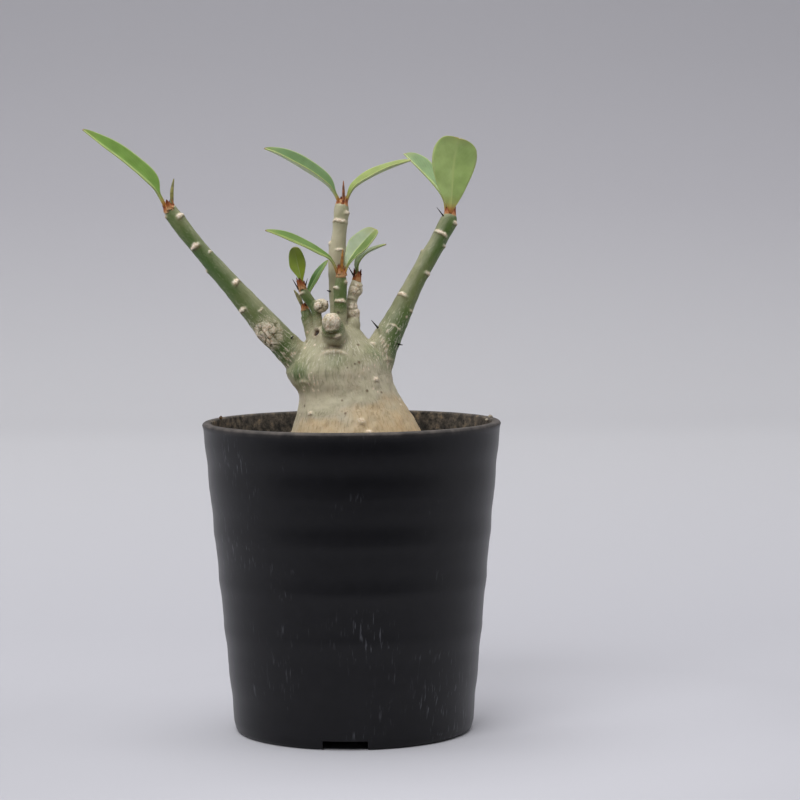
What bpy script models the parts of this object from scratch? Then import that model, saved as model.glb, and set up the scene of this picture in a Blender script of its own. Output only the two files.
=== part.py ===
"""A young desert rose (adenium) in a small black nursery pot.

The pot stands on its foot with its axis on Z and the centre of its foot at the origin. The side that
the plant is looked at from is -Y. Every length is in metres.
"""
import math

import bmesh
import bpy
from mathutils import Vector

MM = 0.001
GAP = 0.3 * MM                    # clearance between neighbouring pieces

# Nursery pot, 9 cm size
POT_HEIGHT = 94 * MM
POT_TOP_RADIUS = 45.2 * MM
POT_BASE_RADIUS = 36.1 * MM
POT_WALL = 2.8 * MM
RIM_ROUND = 1.1 * MM
FOOT_ROUND = 1.2 * MM
FLOOR_UNDERSIDE = 3.1 * MM        # recess under the floor
FLOOR_TOP = 5.3 * MM
PAD_RADIUS = 6.5 * MM             # centre pad that carries the floor
NOTCH_WIDTH = 13.3 * MM
NOTCH_HEIGHT = 2.8 * MM
NOTCH_COUNT = 3
NOTCH_ANGLE = math.radians(-94.3)
HOLE_RADIUS = 4 * MM
HOLE_CIRCLE = 19 * MM
POT_STEPS = 48

# Potting grit
SOIL_TOP = 84 * MM
SOIL_CROWN = 0.7 * MM             # the surface is this much higher at the stem than at the wall

# Swollen stem and taproot: x, y, z and radius in millimetres, from the root's tip to the crown
CAUDEX = (
    (3, 3, 36, 1.6), (2, 2, 50, 7), (1, 1, 64, 14), (1.2, 0, 77, 20.8), (1.4, 0, 84, 22.4),
    (1.3, 0, 91, 19.6), (0.4, 0, 97.5, 16.7), (-1, 0, 102.5, 15.1), (-3, 0, 106.5, 15.7), (-3.7, 0, 110, 16),
    (-3.4, 0, 114.5, 13.7), (-4, 0, 119, 9.4), (-4.7, 0, 122.5, 6.6), (-4.9, 0, 124, 4),
)

# Stems: x, y, z and radius in millimetres, from inside the caudex to the tip
STEMS = {
    "left_stem": ((-9, -1, 107.5, 5.2), (-16, -1.2, 113.3, 4.5), (-25.3, -2.1, 123.1, 4.1), (-31.9, -2.7, 130.8, 3.4),
                  (-38.3, -3.4, 138.4, 2.9), (-44.6, -4, 145.8, 2.5), (-50.6, -4.6, 153.4, 2.6), (-54, -5, 158.6, 1.9)),
    "centre_stem": ((-3.6, 3.6, 116, 3), (-3.7, 3.7, 124, 2.6), (-4.2, 3.8, 134, 2.5), (-4, 4.1, 144, 2.6),
                    (-3.1, 4.3, 152, 2.1), (-2.6, 4.4, 157.5, 2.3), (-2.4, 4.5, 159.6, 1.9)),
    "right_stem": ((6, 0, 110, 4.9), (8.8, 0.5, 115.4, 4.6), (12.8, 1.5, 122.5, 4.1), (16.5, 2.4, 129.8, 3.3),
                   (20.2, 3.4, 137, 2.8), (26.4, 4.9, 147.6, 2.7), (29.8, 5.7, 154.2, 2.6), (30.4, 6, 156.3, 1.9)),
    "front_stump": ((-4, -4, 117.5, 3.6), (-4.6, -7.3, 119.4, 3.7), (-5.2, -9.8, 121.6, 3.6), (-5.7, -11.5, 124.6, 2.8),
                    (-5.9, -12.1, 126.9, 1.6)),
    "front_shoot": ((-3.8, -3.2, 119, 2.1), (-3.2, -3.4, 127, 2), (-3, -3.6, 133.8, 1.9), (-2.8, -3.8, 138.9, 1.5)),
    "back_shoot": ((0.2, 0.3, 118, 2.4), (0.5, 0.3, 123.9, 2), (0.3, 0.3, 129.5, 1.6), (1.2, 0.3, 133.6, 1.9),
                   (1.9, 0.3, 136.9, 1.3)),
    "spoon_shoot": ((-9.4, -3, 117, 1.6), (-9.9, -3.1, 123, 1.3), (-10.6, -3.2, 127.8, 1.4), (-13.1, -3.4, 131.9, 1.5),
                    (-14.6, -3.5, 134.6, 1.2)),
    "outer_shoot": ((-10.6, 1.2, 116.5, 2), (-12.4, 1.1, 122.2, 2), (-13.4, 0.9, 126.6, 1.5), (-14, 0.8, 128.6, 1.1)),
}

# Growing tips, each a cone on the end of its stem: root radius, length, and the way it points
BUDS = {
    "left_bud": ("left_stem", 0.5, 2.4, (0.35, 0.2, 1)),
    "centre_bud": ("centre_stem", 0.55, 2.4, (0, 0.2, 1)),
    "right_bud": ("right_stem", 0.55, 2.2, (-0.1, 0.1, 1)),
    "front_bud": ("front_shoot", 0.55, 2.4, (0.1, 0.1, 1)),
    "back_bud": ("back_shoot", 0.6, 4.6, (-0.5, 0, 1)),
    "spoon_bud": ("spoon_shoot", 0.5, 1.8, (0, 0.3, 1)),
    "outer_bud": ("outer_shoot", 0.4, 1.4, (0, 0, 1)),
}

# Leaves: midrib from stalk to tip in millimetres, half width, fold of each half in degrees, the way the
# upper face looks, and how far along the blade is widest
LEAVES = {
    "left_leaf": (((-56, -5.6, 158.6), (-56.6, -5.9, 163.5), (-59.3, -6.3, 167.2), (-66.9, -7.4, 173.4),
                   (-74.3, -8.4, 178.9), (-79.4, -9, 182.4)), 4.6, 30, (0.55, -0.5, 0.67), 0.5),
    "centre_left_leaf": (((-3.7, 4.2, 160.2), (-4.7, 4.1, 164), (-7.4, 3.6, 166.9), (-13.6, 2.7, 170.4),
                          (-20.5, 1.7, 174.3), (-25.7, 1, 176.6)), 4.6, 30, (0.45, -0.26, 0.85), 0.62),
    "centre_right_leaf": (((-1.1, 4.9, 160.2), (0, 5, 163.8), (2.4, 5.6, 166.6), (7.4, 6.8, 169.7),
                           (13.4, 8, 171.9), (18.7, 9, 172.9)), 4.2, 20, (-0.35, -0.1, 0.93), 0.6),
    "right_broad_leaf": (((30.7, 4.7, 156.8), (30.8, 3.9, 161), (31.4, 3, 167), (31.9, 1.6, 173.4),
                          (32.1, -1.4, 178.2), (32.1, -5.8, 178.9)), 6.9, 12, (0, 1, 0.25), 0.62),
    "right_rear_leaf": (((29.3, 6.9, 156.6), (28.9, 8.2, 160.6), (26.4, 10.4, 164.9), (22.4, 12.8, 169.2),
                         (18.9, 15, 173), (16.9, 16.2, 174.9)), 4.8, 30, (0.6, -0.42, 0.68), 0.58),
    "front_left_leaf": (((-3.9, -4.3, 139.4), (-5.6, -6, 143.1), (-9.6, -7.4, 145.4), (-14.8, -8.9, 148),
                         (-20.6, -10.7, 150.6), (-25.1, -12, 152.1)), 4.0, -8, (0.38, -0.45, 0.81), 0.58),
    "front_right_leaf": (((-1.7, -4.3, 139.4), (-0.6, -3.9, 142.4), (1.6, -2.2, 145.6), (4.3, -0.6, 148.6),
                          (7.8, 1.7, 152)), 3.8, 20, (-0.45, -0.8, 0.4), 0.62),
    "back_leaf": (((2.8, 1.1, 137.3), (2.3, 1.7, 140.5), (3, 2.9, 143), (5.6, 4.4, 145.2), (10.9, 7, 147.4)),
                  2.2, 18, (-0.5, -0.3, 0.8), 0.6),
    "spoon_leaf": (((-14.6, -4.4, 135), (-14.7, -4.3, 138.6), (-15.3, -4.6, 142), (-16, -5.2, 146.4)),
                   2.3, 14, (-0.15, -1, 0.2), 0.66),
    "rear_leaf": (((-13.5, 1.5, 129), (-12.8, 1.6, 133), (-11.2, 2.4, 136.2), (-9.3, 3.6, 139.5), (-6.9, 5, 142.8)),
                  1.4, 30, (-0.5, -0.8, 0.3), 0.6),
}

# Rolled young leaves, as tapering spikes: x, y, z and radius in millimetres
YOUNG_LEAVES = {
    "left_young_leaf": ((-53, -4.4, 159.4, 0.4), (-53.1, -3.6, 163.6, 0.5), (-52.7, -3, 167.7, 0.25)),
    "centre_young_leaf": ((-2, 3, 160.2, 0.35), (-1.9, 3.2, 163.4, 0.4), (-1.9, 3.4, 166.8, 0.2)),
    "front_young_leaf": ((-2.7, -4.9, 139.4, 0.35), (-2.5, -4.7, 142.6, 0.45), (-2.2, -4.5, 146.2, 0.2)),
    "outer_young_leaf": ((-14.7, 0.5, 129, 0.4), (-15.6, 0.3, 131.3, 0.6), (-17.2, 0.1, 134, 0.25)),
}
LEAF_THICKNESS = 0.5 * MM
STALK_HALF_WIDTH = 0.5 * MM
TIP_HALF_WIDTH = 0.2 * MM
LEAF_STEPS = 14
TIP_BLUNTNESS = 0.62              # power of the outline's closing at the tip; smaller is blunter


def collection(name):
    group = bpy.data.collections.new(name)
    bpy.context.scene.collection.children.link(group)
    return group


def linear(hex_colour):
    channels = [int(hex_colour[i:i + 2], 16) / 255 for i in (0, 2, 4)]
    return tuple(c / 12.92 if c <= 0.04045 else ((c + 0.055) / 1.055) ** 2.4 for c in channels)


def material(name, hex_colour, roughness):
    finish = bpy.data.materials.new(name)
    finish.use_nodes = True
    shader = finish.node_tree.nodes["Principled BSDF"]
    shader.inputs["Base Color"].default_value = (*linear(hex_colour), 1)
    shader.inputs["Roughness"].default_value = roughness
    shader.inputs["Metallic"].default_value = 0
    return finish


def place(name, mesh, group, finish=None):
    """Link a mesh as a new object, shaded smooth where it is round."""
    piece = bpy.data.objects.new(name, mesh)
    group.objects.link(piece)
    if finish:
        mesh.materials.append(finish)
    else:
        piece.hide_render = True
        piece.display_type = "WIRE"
    mesh.shade_smooth()
    mesh.set_sharp_from_angle(angle=math.radians(40))
    return piece


def subtract(piece, cutter, solver="EXACT"):
    cut = piece.modifiers.new("cut by " + cutter.name, "BOOLEAN")
    cut.operation = "DIFFERENCE"
    cut.solver = solver
    cut.object = cutter


def arc(centre, radius, start, end, steps):
    """Points of a profile's rounded corner, from one angle in degrees to another."""
    turns = [math.radians(start + (end - start) * i / steps) for i in range(steps + 1)]
    return [(centre[0] + radius * math.cos(t), centre[1] + radius * math.sin(t)) for t in turns]


def turned(name, profile, group, finish):
    """A closed body turned from a profile of (radius, height) points that starts and ends on the axis."""
    mesh = bpy.data.meshes.new(name)
    edges = [(i, i + 1) for i in range(len(profile) - 1)]
    mesh.from_pydata([(r, 0, z) for r, z in profile], edges, [])
    piece = place(name, mesh, group, finish)
    screw = piece.modifiers.new("turn", "SCREW")
    screw.steps = screw.render_steps = POT_STEPS
    screw.use_merge_vertices = True
    screw.merge_threshold = 0.00001
    return piece


def smooth_route(points, per_span):
    """Catmull-Rom points through a few hand-set ones; each point may also carry a radius."""
    ends = [points[0]] + list(points) + [points[-1]]
    route = []
    for a, b, c, d in zip(ends, ends[1:], ends[2:], ends[3:]):
        for i in range(per_span):
            t = i / per_span
            route.append([0.5 * (2 * q + (r - p) * t + (2 * p - 5 * q + 4 * r - s) * t * t
                                 + (3 * q - p - 3 * r + s) * t ** 3) for p, q, r, s in zip(a, b, c, d)])
    return route + [list(points[-1])]


def tapering_tube(name, points, group, finish, resolution=2, per_span=3, swell=0.0):
    """A round stem along a route whose points are x, y, z and radius in millimetres."""
    curve = bpy.data.curves.new(name, "CURVE")
    curve.dimensions = "3D"
    curve.bevel_depth = MM
    curve.bevel_resolution = resolution
    curve.use_fill_caps = True
    spline = curve.splines.new("POLY")
    route = smooth_route(points, per_span)
    spline.points.add(len(route) - 1)
    for point, (x, y, z, radius) in zip(spline.points, route):
        point.co = (x * MM, y * MM, z * MM, 1)
        point.radius = radius + swell / MM
    shape = bpy.data.objects.new(name + " route", curve)
    group.objects.link(shape)
    mesh = bpy.data.meshes.new_from_object(shape.evaluated_get(bpy.context.evaluated_depsgraph_get()))
    mesh.name = name
    bpy.data.objects.remove(shape)
    body = bmesh.new()
    body.from_mesh(mesh)
    bmesh.ops.remove_doubles(body, verts=body.verts, dist=0.000001)
    body.to_mesh(mesh)
    body.free()
    mesh.materials.clear()
    return place(name, mesh, group, finish)


def make_pot(group, cutters, finish):
    """Moulded pot: straight tapering wall, rounded rim, raised floor with a foot ring and a centre pad."""
    slope = (POT_TOP_RADIUS - POT_BASE_RADIUS) / POT_HEIGHT
    inner_top = POT_TOP_RADIUS - POT_WALL
    inner_base = POT_BASE_RADIUS + slope * FLOOR_TOP - POT_WALL
    ring_inner = POT_BASE_RADIUS - POT_WALL
    profile = [(0, FLOOR_TOP), (inner_base, FLOOR_TOP), (inner_top - slope * RIM_ROUND, POT_HEIGHT - RIM_ROUND)]
    profile += arc((inner_top + RIM_ROUND, POT_HEIGHT - RIM_ROUND), RIM_ROUND, 180, 90, 3)
    profile += arc((POT_TOP_RADIUS - RIM_ROUND, POT_HEIGHT - RIM_ROUND), RIM_ROUND, 90, 0, 4)
    profile += arc((POT_BASE_RADIUS - FOOT_ROUND, FOOT_ROUND), FOOT_ROUND, 0, -90, 3)
    profile += [(ring_inner, 0), (ring_inner - 0.3 * MM, FLOOR_UNDERSIDE)]
    profile += [(PAD_RADIUS + 0.6 * MM, FLOOR_UNDERSIDE), (PAD_RADIUS, 0), (0, 0)]
    pot = turned("pot", profile, group, finish)

    for i in range(NOTCH_COUNT):
        notch = bmesh.new()
        bmesh.ops.create_cube(notch, size=1)
        bmesh.ops.scale(notch, vec=(12 * MM, NOTCH_WIDTH, 2 * NOTCH_HEIGHT), verts=notch.verts)
        bmesh.ops.translate(notch, vec=(POT_BASE_RADIUS - 1 * MM, 0, 0), verts=notch.verts)
        mesh = bpy.data.meshes.new(f"notch_{i + 1}")
        notch.to_mesh(mesh)
        notch.free()
        cutter = place(mesh.name, mesh, cutters)
        cutter.rotation_euler.z = NOTCH_ANGLE + i * math.tau / NOTCH_COUNT
        subtract(pot, cutter)

        hole = bmesh.new()
        bmesh.ops.create_cone(hole, cap_ends=True, segments=16, radius1=HOLE_RADIUS, radius2=HOLE_RADIUS, depth=12 * MM)
        mesh = bpy.data.meshes.new(f"drain_hole_{i + 1}")
        hole.to_mesh(mesh)
        hole.free()
        cutter = place(mesh.name, mesh, cutters)
        angle = NOTCH_ANGLE + (i + 0.5) * math.tau / NOTCH_COUNT
        cutter.location = (HOLE_CIRCLE * math.cos(angle), HOLE_CIRCLE * math.sin(angle), FLOOR_TOP)
        subtract(pot, cutter)


def make_soil(group, finish, root_room):
    """Grit that fills the pot from its floor to below the rim, with the root's own room cut out of it."""
    slope = (POT_TOP_RADIUS - POT_BASE_RADIUS) / POT_HEIGHT

    def beside_wall(z):
        return POT_BASE_RADIUS + slope * z - POT_WALL - GAP

    bottom = FLOOR_TOP + GAP
    shoulder = SOIL_TOP - 1 * MM
    profile = [(0, SOIL_TOP + SOIL_CROWN), (0.6 * POT_TOP_RADIUS, SOIL_TOP + SOIL_CROWN)]
    profile += [(beside_wall(SOIL_TOP) - 1.5 * MM, SOIL_TOP), (beside_wall(shoulder), shoulder)]
    profile += [(beside_wall(bottom), bottom), (0, bottom)]
    soil = turned("soil", profile, group, finish)
    subtract(soil, root_room)


def make_bud(name, stem, radius, length, way, group, finish):
    """A blunt cone standing just clear of its stem's end."""
    x, y, z = STEMS[stem][-1][:3]
    way = Vector(way).normalized()
    foot = Vector((x, y, z + 0.45))
    route = [(*(foot + way * length * t), radius * size) for t, size in ((0, 1), (0.35, 0.85), (1, 0.25))]
    tapering_tube(name, route, group, finish, per_span=1)


def half_width(along, widest, greatest):
    """Half width of a blade at a place between 0, its stalk, and 1, its tip."""
    rise = TIP_BLUNTNESS * widest / (1 - widest)
    peak = widest ** rise * (1 - widest) ** TIP_BLUNTNESS
    blade = greatest * (along ** rise * (1 - along) ** TIP_BLUNTNESS / peak) ** 1.25
    stalk = STALK_HALF_WIDTH if along < 0.5 else TIP_HALF_WIDTH
    return max(blade, stalk)


def make_leaf(name, midrib, greatest, fold, face, widest, group, finish):
    """A blade folded along its midrib, given its thickness by Solidify."""
    route = [Vector(p) * MM for p in smooth_route(midrib, 6)]
    leaf = bmesh.new()
    bmesh.ops.create_grid(leaf, x_segments=LEAF_STEPS, y_segments=4, size=1)
    for vertex in leaf.verts:
        along = (vertex.co.x + 1) / 2
        across = vertex.co.y
        reach = along * (len(route) - 1)
        i = min(int(reach), len(route) - 2)
        way = (route[i + 1] - route[i]).normalized()
        up = Vector(face)
        up = (up - way * up.dot(way)).normalized()
        side = way.cross(up)
        width = half_width(along, widest, greatest * MM)
        rise = width * abs(across) * math.sin(math.radians(fold))
        spread = width * across * math.cos(math.radians(fold))
        vertex.co = route[i].lerp(route[i + 1], reach - i) + side * spread + up * rise
    mesh = bpy.data.meshes.new(name)
    leaf.to_mesh(mesh)
    leaf.free()
    blade = place(name, mesh, group, finish)
    shell = blade.modifiers.new("thickness", "SOLIDIFY")
    shell.thickness = LEAF_THICKNESS
    shell.offset = 0


for old in list(bpy.data.objects):
    bpy.data.objects.remove(old)

plant = collection("potted_desert_rose")
cutters = collection("cutters")

plastic = material("black polypropylene", "1b1b1f", 0.45)
grit = material("potting grit", "6e5a45", 0.95)
bark = material("caudex bark", "8f8a6c", 0.7)
green_bark = material("green stem bark", "75805a", 0.65)
scale_leaf = material("dry bud scales", "8a4a22", 0.6)
leaf_green = material("leaf", "6f9a4c", 0.4)
young_leaf_tan = material("young leaf", "a8642c", 0.5)

make_pot(plant, cutters, plastic)
tapering_tube("caudex", CAUDEX, plant, bark, resolution=8, per_span=2)
root_room = tapering_tube("root_room", CAUDEX, cutters, None, resolution=8, per_span=2, swell=GAP)
make_soil(plant, grit, root_room)
for stem_name, stem_route in STEMS.items():
    # the exact solver leaves the right stem whole, so the stems are cut by the manifold one
    subtract(tapering_tube(stem_name, stem_route, plant, green_bark, resolution=3), root_room, "MANIFOLD")
for bud_name, bud in BUDS.items():
    make_bud(bud_name, *bud, plant, scale_leaf)
for leaf_name, leaf in LEAVES.items():
    make_leaf(leaf_name, *leaf, plant, leaf_green)
for leaf_name, leaf_route in YOUNG_LEAVES.items():
    tapering_tube(leaf_name, leaf_route, plant, young_leaf_tan, resolution=2)
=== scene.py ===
"""The looks of a young desert rose in a black nursery pot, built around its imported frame."""

import math
import random

import bmesh
import bpy
import numpy as np
from mathutils import Matrix, Quaternion, Vector, noise


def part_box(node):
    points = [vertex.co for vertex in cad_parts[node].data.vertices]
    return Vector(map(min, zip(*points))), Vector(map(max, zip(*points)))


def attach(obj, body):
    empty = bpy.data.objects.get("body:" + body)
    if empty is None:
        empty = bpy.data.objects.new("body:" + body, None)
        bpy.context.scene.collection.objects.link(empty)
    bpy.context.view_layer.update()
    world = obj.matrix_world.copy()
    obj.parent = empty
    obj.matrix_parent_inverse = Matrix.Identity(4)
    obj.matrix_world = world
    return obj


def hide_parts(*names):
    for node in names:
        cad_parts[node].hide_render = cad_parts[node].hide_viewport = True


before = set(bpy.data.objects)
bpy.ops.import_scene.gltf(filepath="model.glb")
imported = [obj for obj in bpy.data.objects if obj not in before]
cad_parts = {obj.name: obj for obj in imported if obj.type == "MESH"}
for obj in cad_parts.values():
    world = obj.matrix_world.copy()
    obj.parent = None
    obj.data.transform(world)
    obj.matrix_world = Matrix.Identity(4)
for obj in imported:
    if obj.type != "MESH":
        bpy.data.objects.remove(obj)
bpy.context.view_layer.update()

# ---- Studio: a sheet of pale grey paper that sweeps up behind the pot, large soft lights, one camera ----
# The paper is matt; painted shade darkens it to a cooler grey above and towards the camera, and painted
# light pales it round the pot and far behind.
# The camera stands 0.83 m in front of the pot, a little above its rim, and looks slightly down.


def add(tree, kind, inputs=None, **settings):
    """Add a shader node: settings are its own values; inputs are numbers, colours or other sockets."""
    node = tree.nodes.new("ShaderNode" + kind)
    for key, value in settings.items():
        setattr(node, key, value)
    for key, value in (inputs or {}).items():
        if isinstance(value, bpy.types.NodeSocket):
            tree.links.new(value, node.inputs[key])
        else:
            node.inputs[key].default_value = value
    return node


def paint(hex_colour):
    """An sRGB hex colour as the linear colour that a shader takes."""
    channels = [int(hex_colour[i:i + 2], 16) / 255 for i in (0, 2, 4)]
    return tuple(c / 12.92 if c <= 0.04045 else ((c + 0.055) / 1.055) ** 2.4 for c in channels) + (1,)


def ramp(tree, value, *stops):
    """A colour ramp whose stops are (place, hex colour) pairs."""
    node = add(tree, "ValToRGB", {"Fac": value})
    elements = node.color_ramp.elements
    while len(elements) < len(stops):
        elements.new(0.5)
    for element, (place, colour) in zip(elements, stops):
        element.position = place
        element.color = paint(colour)
    return node.outputs["Color"]


def new_material(name, roughness):
    """A material with one Principled shader, and the two of them with its node tree."""
    material = bpy.data.materials.new(name)
    material.use_nodes = True
    tree = material.node_tree
    shader = tree.nodes["Principled BSDF"]
    shader.inputs["Roughness"].default_value = roughness
    return material, tree, shader


def new_piece(name, source, material, smooth=True):
    """Link a bmesh or a mesh as a finished object at the origin."""
    if isinstance(source, bmesh.types.BMesh):
        mesh = bpy.data.meshes.new(name)
        source.to_mesh(mesh)
        source.free()
    else:
        mesh = source
    mesh.name = name
    mesh.materials.clear()
    mesh.materials.append(material)
    if smooth:
        mesh.shade_smooth()
    piece = bpy.data.objects.new(name, mesh)
    bpy.context.scene.collection.objects.link(piece)
    return piece


PAPER_WIDTH = 6
SWEEP_FRONT = -1.6
SWEEP_BACK = 1.15
SWEEP_BEND = 0.55
SWEEP_STEPS = 24
SWEEP_TOP = 1.9
FADE_HEIGHT = 0.42                # above this height the paper's painted shade is at its darkest grey, m
PAINTED_LIGHT_SPOT = (0.03, -0.02, 0.0)  # centre of the painted pool of light that pales the paper by the foot of the pot, m

paper, tree, shader = new_material("matt_backdrop_paper", 0.9)
shader.inputs["Specular IOR Level"].default_value = 0.2
place = add(tree, "TexCoord").outputs["Object"]
apart = add(tree, "SeparateXYZ", {"Vector": place})
rise = add(tree, "MapRange", {"Value": apart.outputs["Z"], "From Max": FADE_HEIGHT}).outputs["Result"]
# painted shade: the paper's grey darkens with height, standing in for the light falling off up the sweep
paper_tone_with_painted_light = ramp(tree, rise, (0.0, "d2d2d6"), (0.385, "bebdc3"), (0.69, "b4b3b9"), (1.0, "aeadb3"))
# painted shade and light: the paper darkens towards the camera and pales far behind the pot
inward = add(tree, "MapRange", {"Value": apart.outputs["Y"], "From Min": -1.0}).outputs["Result"]
painted_shade_by_depth = ramp(tree, inward, (0.25, "303033"), (0.43, "dadadd"), (0.6, "dadadd"), (1.0, "f4f4f4"))
paper_tone_with_painted_light = add(tree, "Mix", {"Factor": 1.0, "A": paper_tone_with_painted_light, "B": painted_shade_by_depth},
                 data_type="RGBA", blend_type="MULTIPLY").outputs[2]
# painted light: the paper is brightened round the pot's foot, which softens the pot's shadow there
spread = add(tree, "VectorMath", {0: place, 1: PAINTED_LIGHT_SPOT}, operation="DISTANCE").outputs["Value"]
painted_light_pool = add(tree, "MapRange", {"Value": spread, "From Min": 0.04, "From Max": 0.14,
                               "To Min": 1.17, "To Max": 1.0}).outputs["Result"]
paper_tone_with_painted_light = add(tree, "VectorMath", {0: paper_tone_with_painted_light, "Scale": painted_light_pool}, operation="SCALE").outputs["Vector"]
tree.links.new(paper_tone_with_painted_light, shader.inputs["Base Color"])

sweep = bmesh.new()
bends = [math.pi / 2 * i / SWEEP_STEPS for i in range(SWEEP_STEPS + 1)]
outline = [(SWEEP_FRONT, 0)]
outline += [(SWEEP_BACK + SWEEP_BEND * math.sin(t), SWEEP_BEND * (1 - math.cos(t))) for t in bends]
outline += [(SWEEP_BACK + SWEEP_BEND, SWEEP_TOP)]
line = [sweep.verts.new((-PAPER_WIDTH / 2, y, z)) for y, z in outline]
edges = [sweep.edges.new(pair) for pair in zip(line, line[1:])]
wide = bmesh.ops.extrude_edge_only(sweep, edges=edges)["geom"]
far_side = [g for g in wide if isinstance(g, bmesh.types.BMVert)]
bmesh.ops.translate(sweep, vec=(PAPER_WIDTH, 0, 0), verts=far_side)
bmesh.ops.recalc_face_normals(sweep, faces=sweep.faces)
if sweep.faces[0].normal.z < 0:
    bmesh.ops.reverse_faces(sweep, faces=sweep.faces)
new_piece("backdrop", sweep, paper)

# the room behind the camera is dark, which keeps the front of the black pot deep
world = bpy.data.worlds.new("studio")
bpy.context.scene.world = world
world.use_nodes = True
tree = world.node_tree
ahead = add(tree, "SeparateXYZ", {"Vector": add(tree, "TexCoord").outputs["Generated"]}).outputs["Y"]
glow = add(tree, "MapRange", {"Value": ahead, "From Min": -0.7, "From Max": 0.4,
                              "To Min": 0.05, "To Max": 0.6})
tree.nodes["Background"].inputs["Color"].default_value = paint("eceaee")
tree.links.new(glow.outputs["Result"], tree.nodes["Background"].inputs["Strength"])


# name, place, size in metres, power in watts, the point it is turned to
SOFTBOXES = (
    ("top_softbox", (-0.1, -0.1, 1.5), (1.9, 1.4), 14.5, (0, 0, 0.1)),
    ("key_softbox", (-0.5, -1.1, 1.2), (0.9, 0.6), 12.5, (0, 0, 0.1)),
    ("left_softbox", (-1.3, -0.1, 0.6), (0.8, 1.0), 3, (0, 0, 0.1)),
    ("right_softbox", (1.4, -0.1, 0.6), (0.8, 1.0), 3, (0, 0, 0.1)),
    ("backdrop_softbox", (0, 0.9, 1.9), (3, 0.8), 16, (0, 1.5, 0.1)),
)
for name, place, size, power, target in SOFTBOXES:
    lamp = bpy.data.lights.new(name, "AREA")
    lamp.shape = "RECTANGLE"
    lamp.size, lamp.size_y = size
    lamp.energy = power
    holder = bpy.data.objects.new(name, lamp)
    holder.location = place
    holder.rotation_euler = (Vector(target) - Vector(place)).to_track_quat("-Z", "Y").to_euler()
    bpy.context.scene.collection.objects.link(holder)

CAMERA_PLACE = (0, -0.8297, 0.1602)
CAMERA_PAN = math.radians(1.015)
CAMERA_TILT = math.radians(-4.135)
CAMERA_ROLL = math.radians(-0.395)
CAMERA_LENS = 123.54              # mm
SENSOR_WIDTH = 36                 # mm
camera = bpy.data.cameras.new("camera")
camera.sensor_width = SENSOR_WIDTH
camera.lens = CAMERA_LENS
camera.clip_start = 0.01
eye = bpy.data.objects.new("camera", camera)
sight = Vector((math.sin(CAMERA_PAN) * math.cos(CAMERA_TILT),
                math.cos(CAMERA_PAN) * math.cos(CAMERA_TILT), math.sin(CAMERA_TILT)))
eye.rotation_mode = "QUATERNION"
eye.rotation_quaternion = sight.to_track_quat("-Z", "Y") @ Quaternion((0, 0, 1), CAMERA_ROLL)
eye.location = CAMERA_PLACE
bpy.context.scene.collection.objects.link(eye)
bpy.context.scene.camera = eye
bpy.context.scene.view_settings.view_transform = "Standard"

# ---- Pot: injection moulded black polypropylene, satin, with shallow rings down its wall ----
# Its rim is scuffed grey, its inner wall carries dried dirt, and three notches are cut in its foot.

def stand_for(piece, slot, *nodes):
    """The piece takes the place of its frame nodes and moves with the plant's one body."""
    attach(piece, "root")
    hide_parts(*nodes)


MM = 0.001
pot_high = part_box("pot")[1]
POT_TOP = pot_high.z
TOP_RADIUS = pot_high.x - 0.01 * MM
FOOT_RADIUS = 36.1 * MM
WALL = 2.8 * MM
POT_FLOOR = 5.3 * MM
OUTER_LIP = 0.9 * MM              # how round the rim is outside, and inside
INNER_LIP = 0.7 * MM
FOOT_ROUND = 1.6 * MM
BASE_HOLLOW = 3.1 * MM            # the base is hollow below, but for a boss round its middle
BOSS_RADIUS = 6.5 * MM
RING_SPACING = 14.2 * MM
RING_DEPTH = 0.1 * MM
NOTCH_ANGLE = math.radians(-94.3)
NOTCH_SIZE = (12 * MM, 13.3 * MM, 5.6 * MM, 1)
DRAIN_RADIUS = 4 * MM
DRAIN_CIRCLE = 19 * MM
POT_TURNS = 240

pot_plastic, tree, shader = new_material("moulded_black_polypropylene", 0.34)
shader.inputs["Specular IOR Level"].default_value = 0.32
place = add(tree, "TexCoord").outputs["Object"]
wear = add(tree, "Attribute", attribute_name="wear").outputs["Color"]
wear = add(tree, "SeparateColor", {"Color": wear})
cloud = add(tree, "TexNoise", {"Vector": place, "Scale": 260.0, "Detail": 6.0,
                               "Roughness": 0.6}).outputs["Fac"]
dirt = add(tree, "TexNoise", {"Vector": place, "Scale": 420.0, "Detail": 8.0,
                              "Roughness": 0.7}).outputs["Fac"]
stretch = add(tree, "Mapping", {"Vector": place, "Scale": (1.0, 1.0, 0.12),
                                "Rotation": (0.5, 0.3, 0)}).outputs["Vector"]
scratch = add(tree, "TexNoise", {"Vector": stretch, "Scale": 1500.0, "Detail": 2.0}).outputs["Fac"]
patch = add(tree, "TexNoise", {"Vector": place, "Scale": 45.0, "Detail": 3.0}).outputs["Fac"]
scratch = add(tree, "MapRange", {"Value": scratch, "From Min": 0.6, "From Max": 0.74}).outputs["Result"]
patch = add(tree, "MapRange", {"Value": patch, "From Min": 0.5, "From Max": 0.66,
                               "To Max": 0.75}).outputs["Result"]
scuff = add(tree, "Math", {0: scratch, 1: patch}, operation="MULTIPLY").outputs["Value"]
body = ramp(tree, cloud, (0.35, "020206"), (0.75, "09090e"))
body = add(tree, "Mix", {"Factor": scuff, "A": body, "B": paint("55565c")}, data_type="RGBA").outputs[2]
rim_colour = ramp(tree, cloud, (0.3, "3c3938"), (0.7, "6c6560"))
body = add(tree, "Mix", {"Factor": wear.outputs["Red"], "A": body, "B": rim_colour},
           data_type="RGBA").outputs[2]
crust = ramp(tree, dirt, (0.36, "1c1b1a"), (0.47, "443f39"), (0.57, "665d52"), (0.7, "9a8568"))
body = add(tree, "Mix", {"Factor": wear.outputs["Green"], "A": body, "B": crust},
           data_type="RGBA").outputs[2]
tree.links.new(body, shader.inputs["Base Color"])
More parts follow.
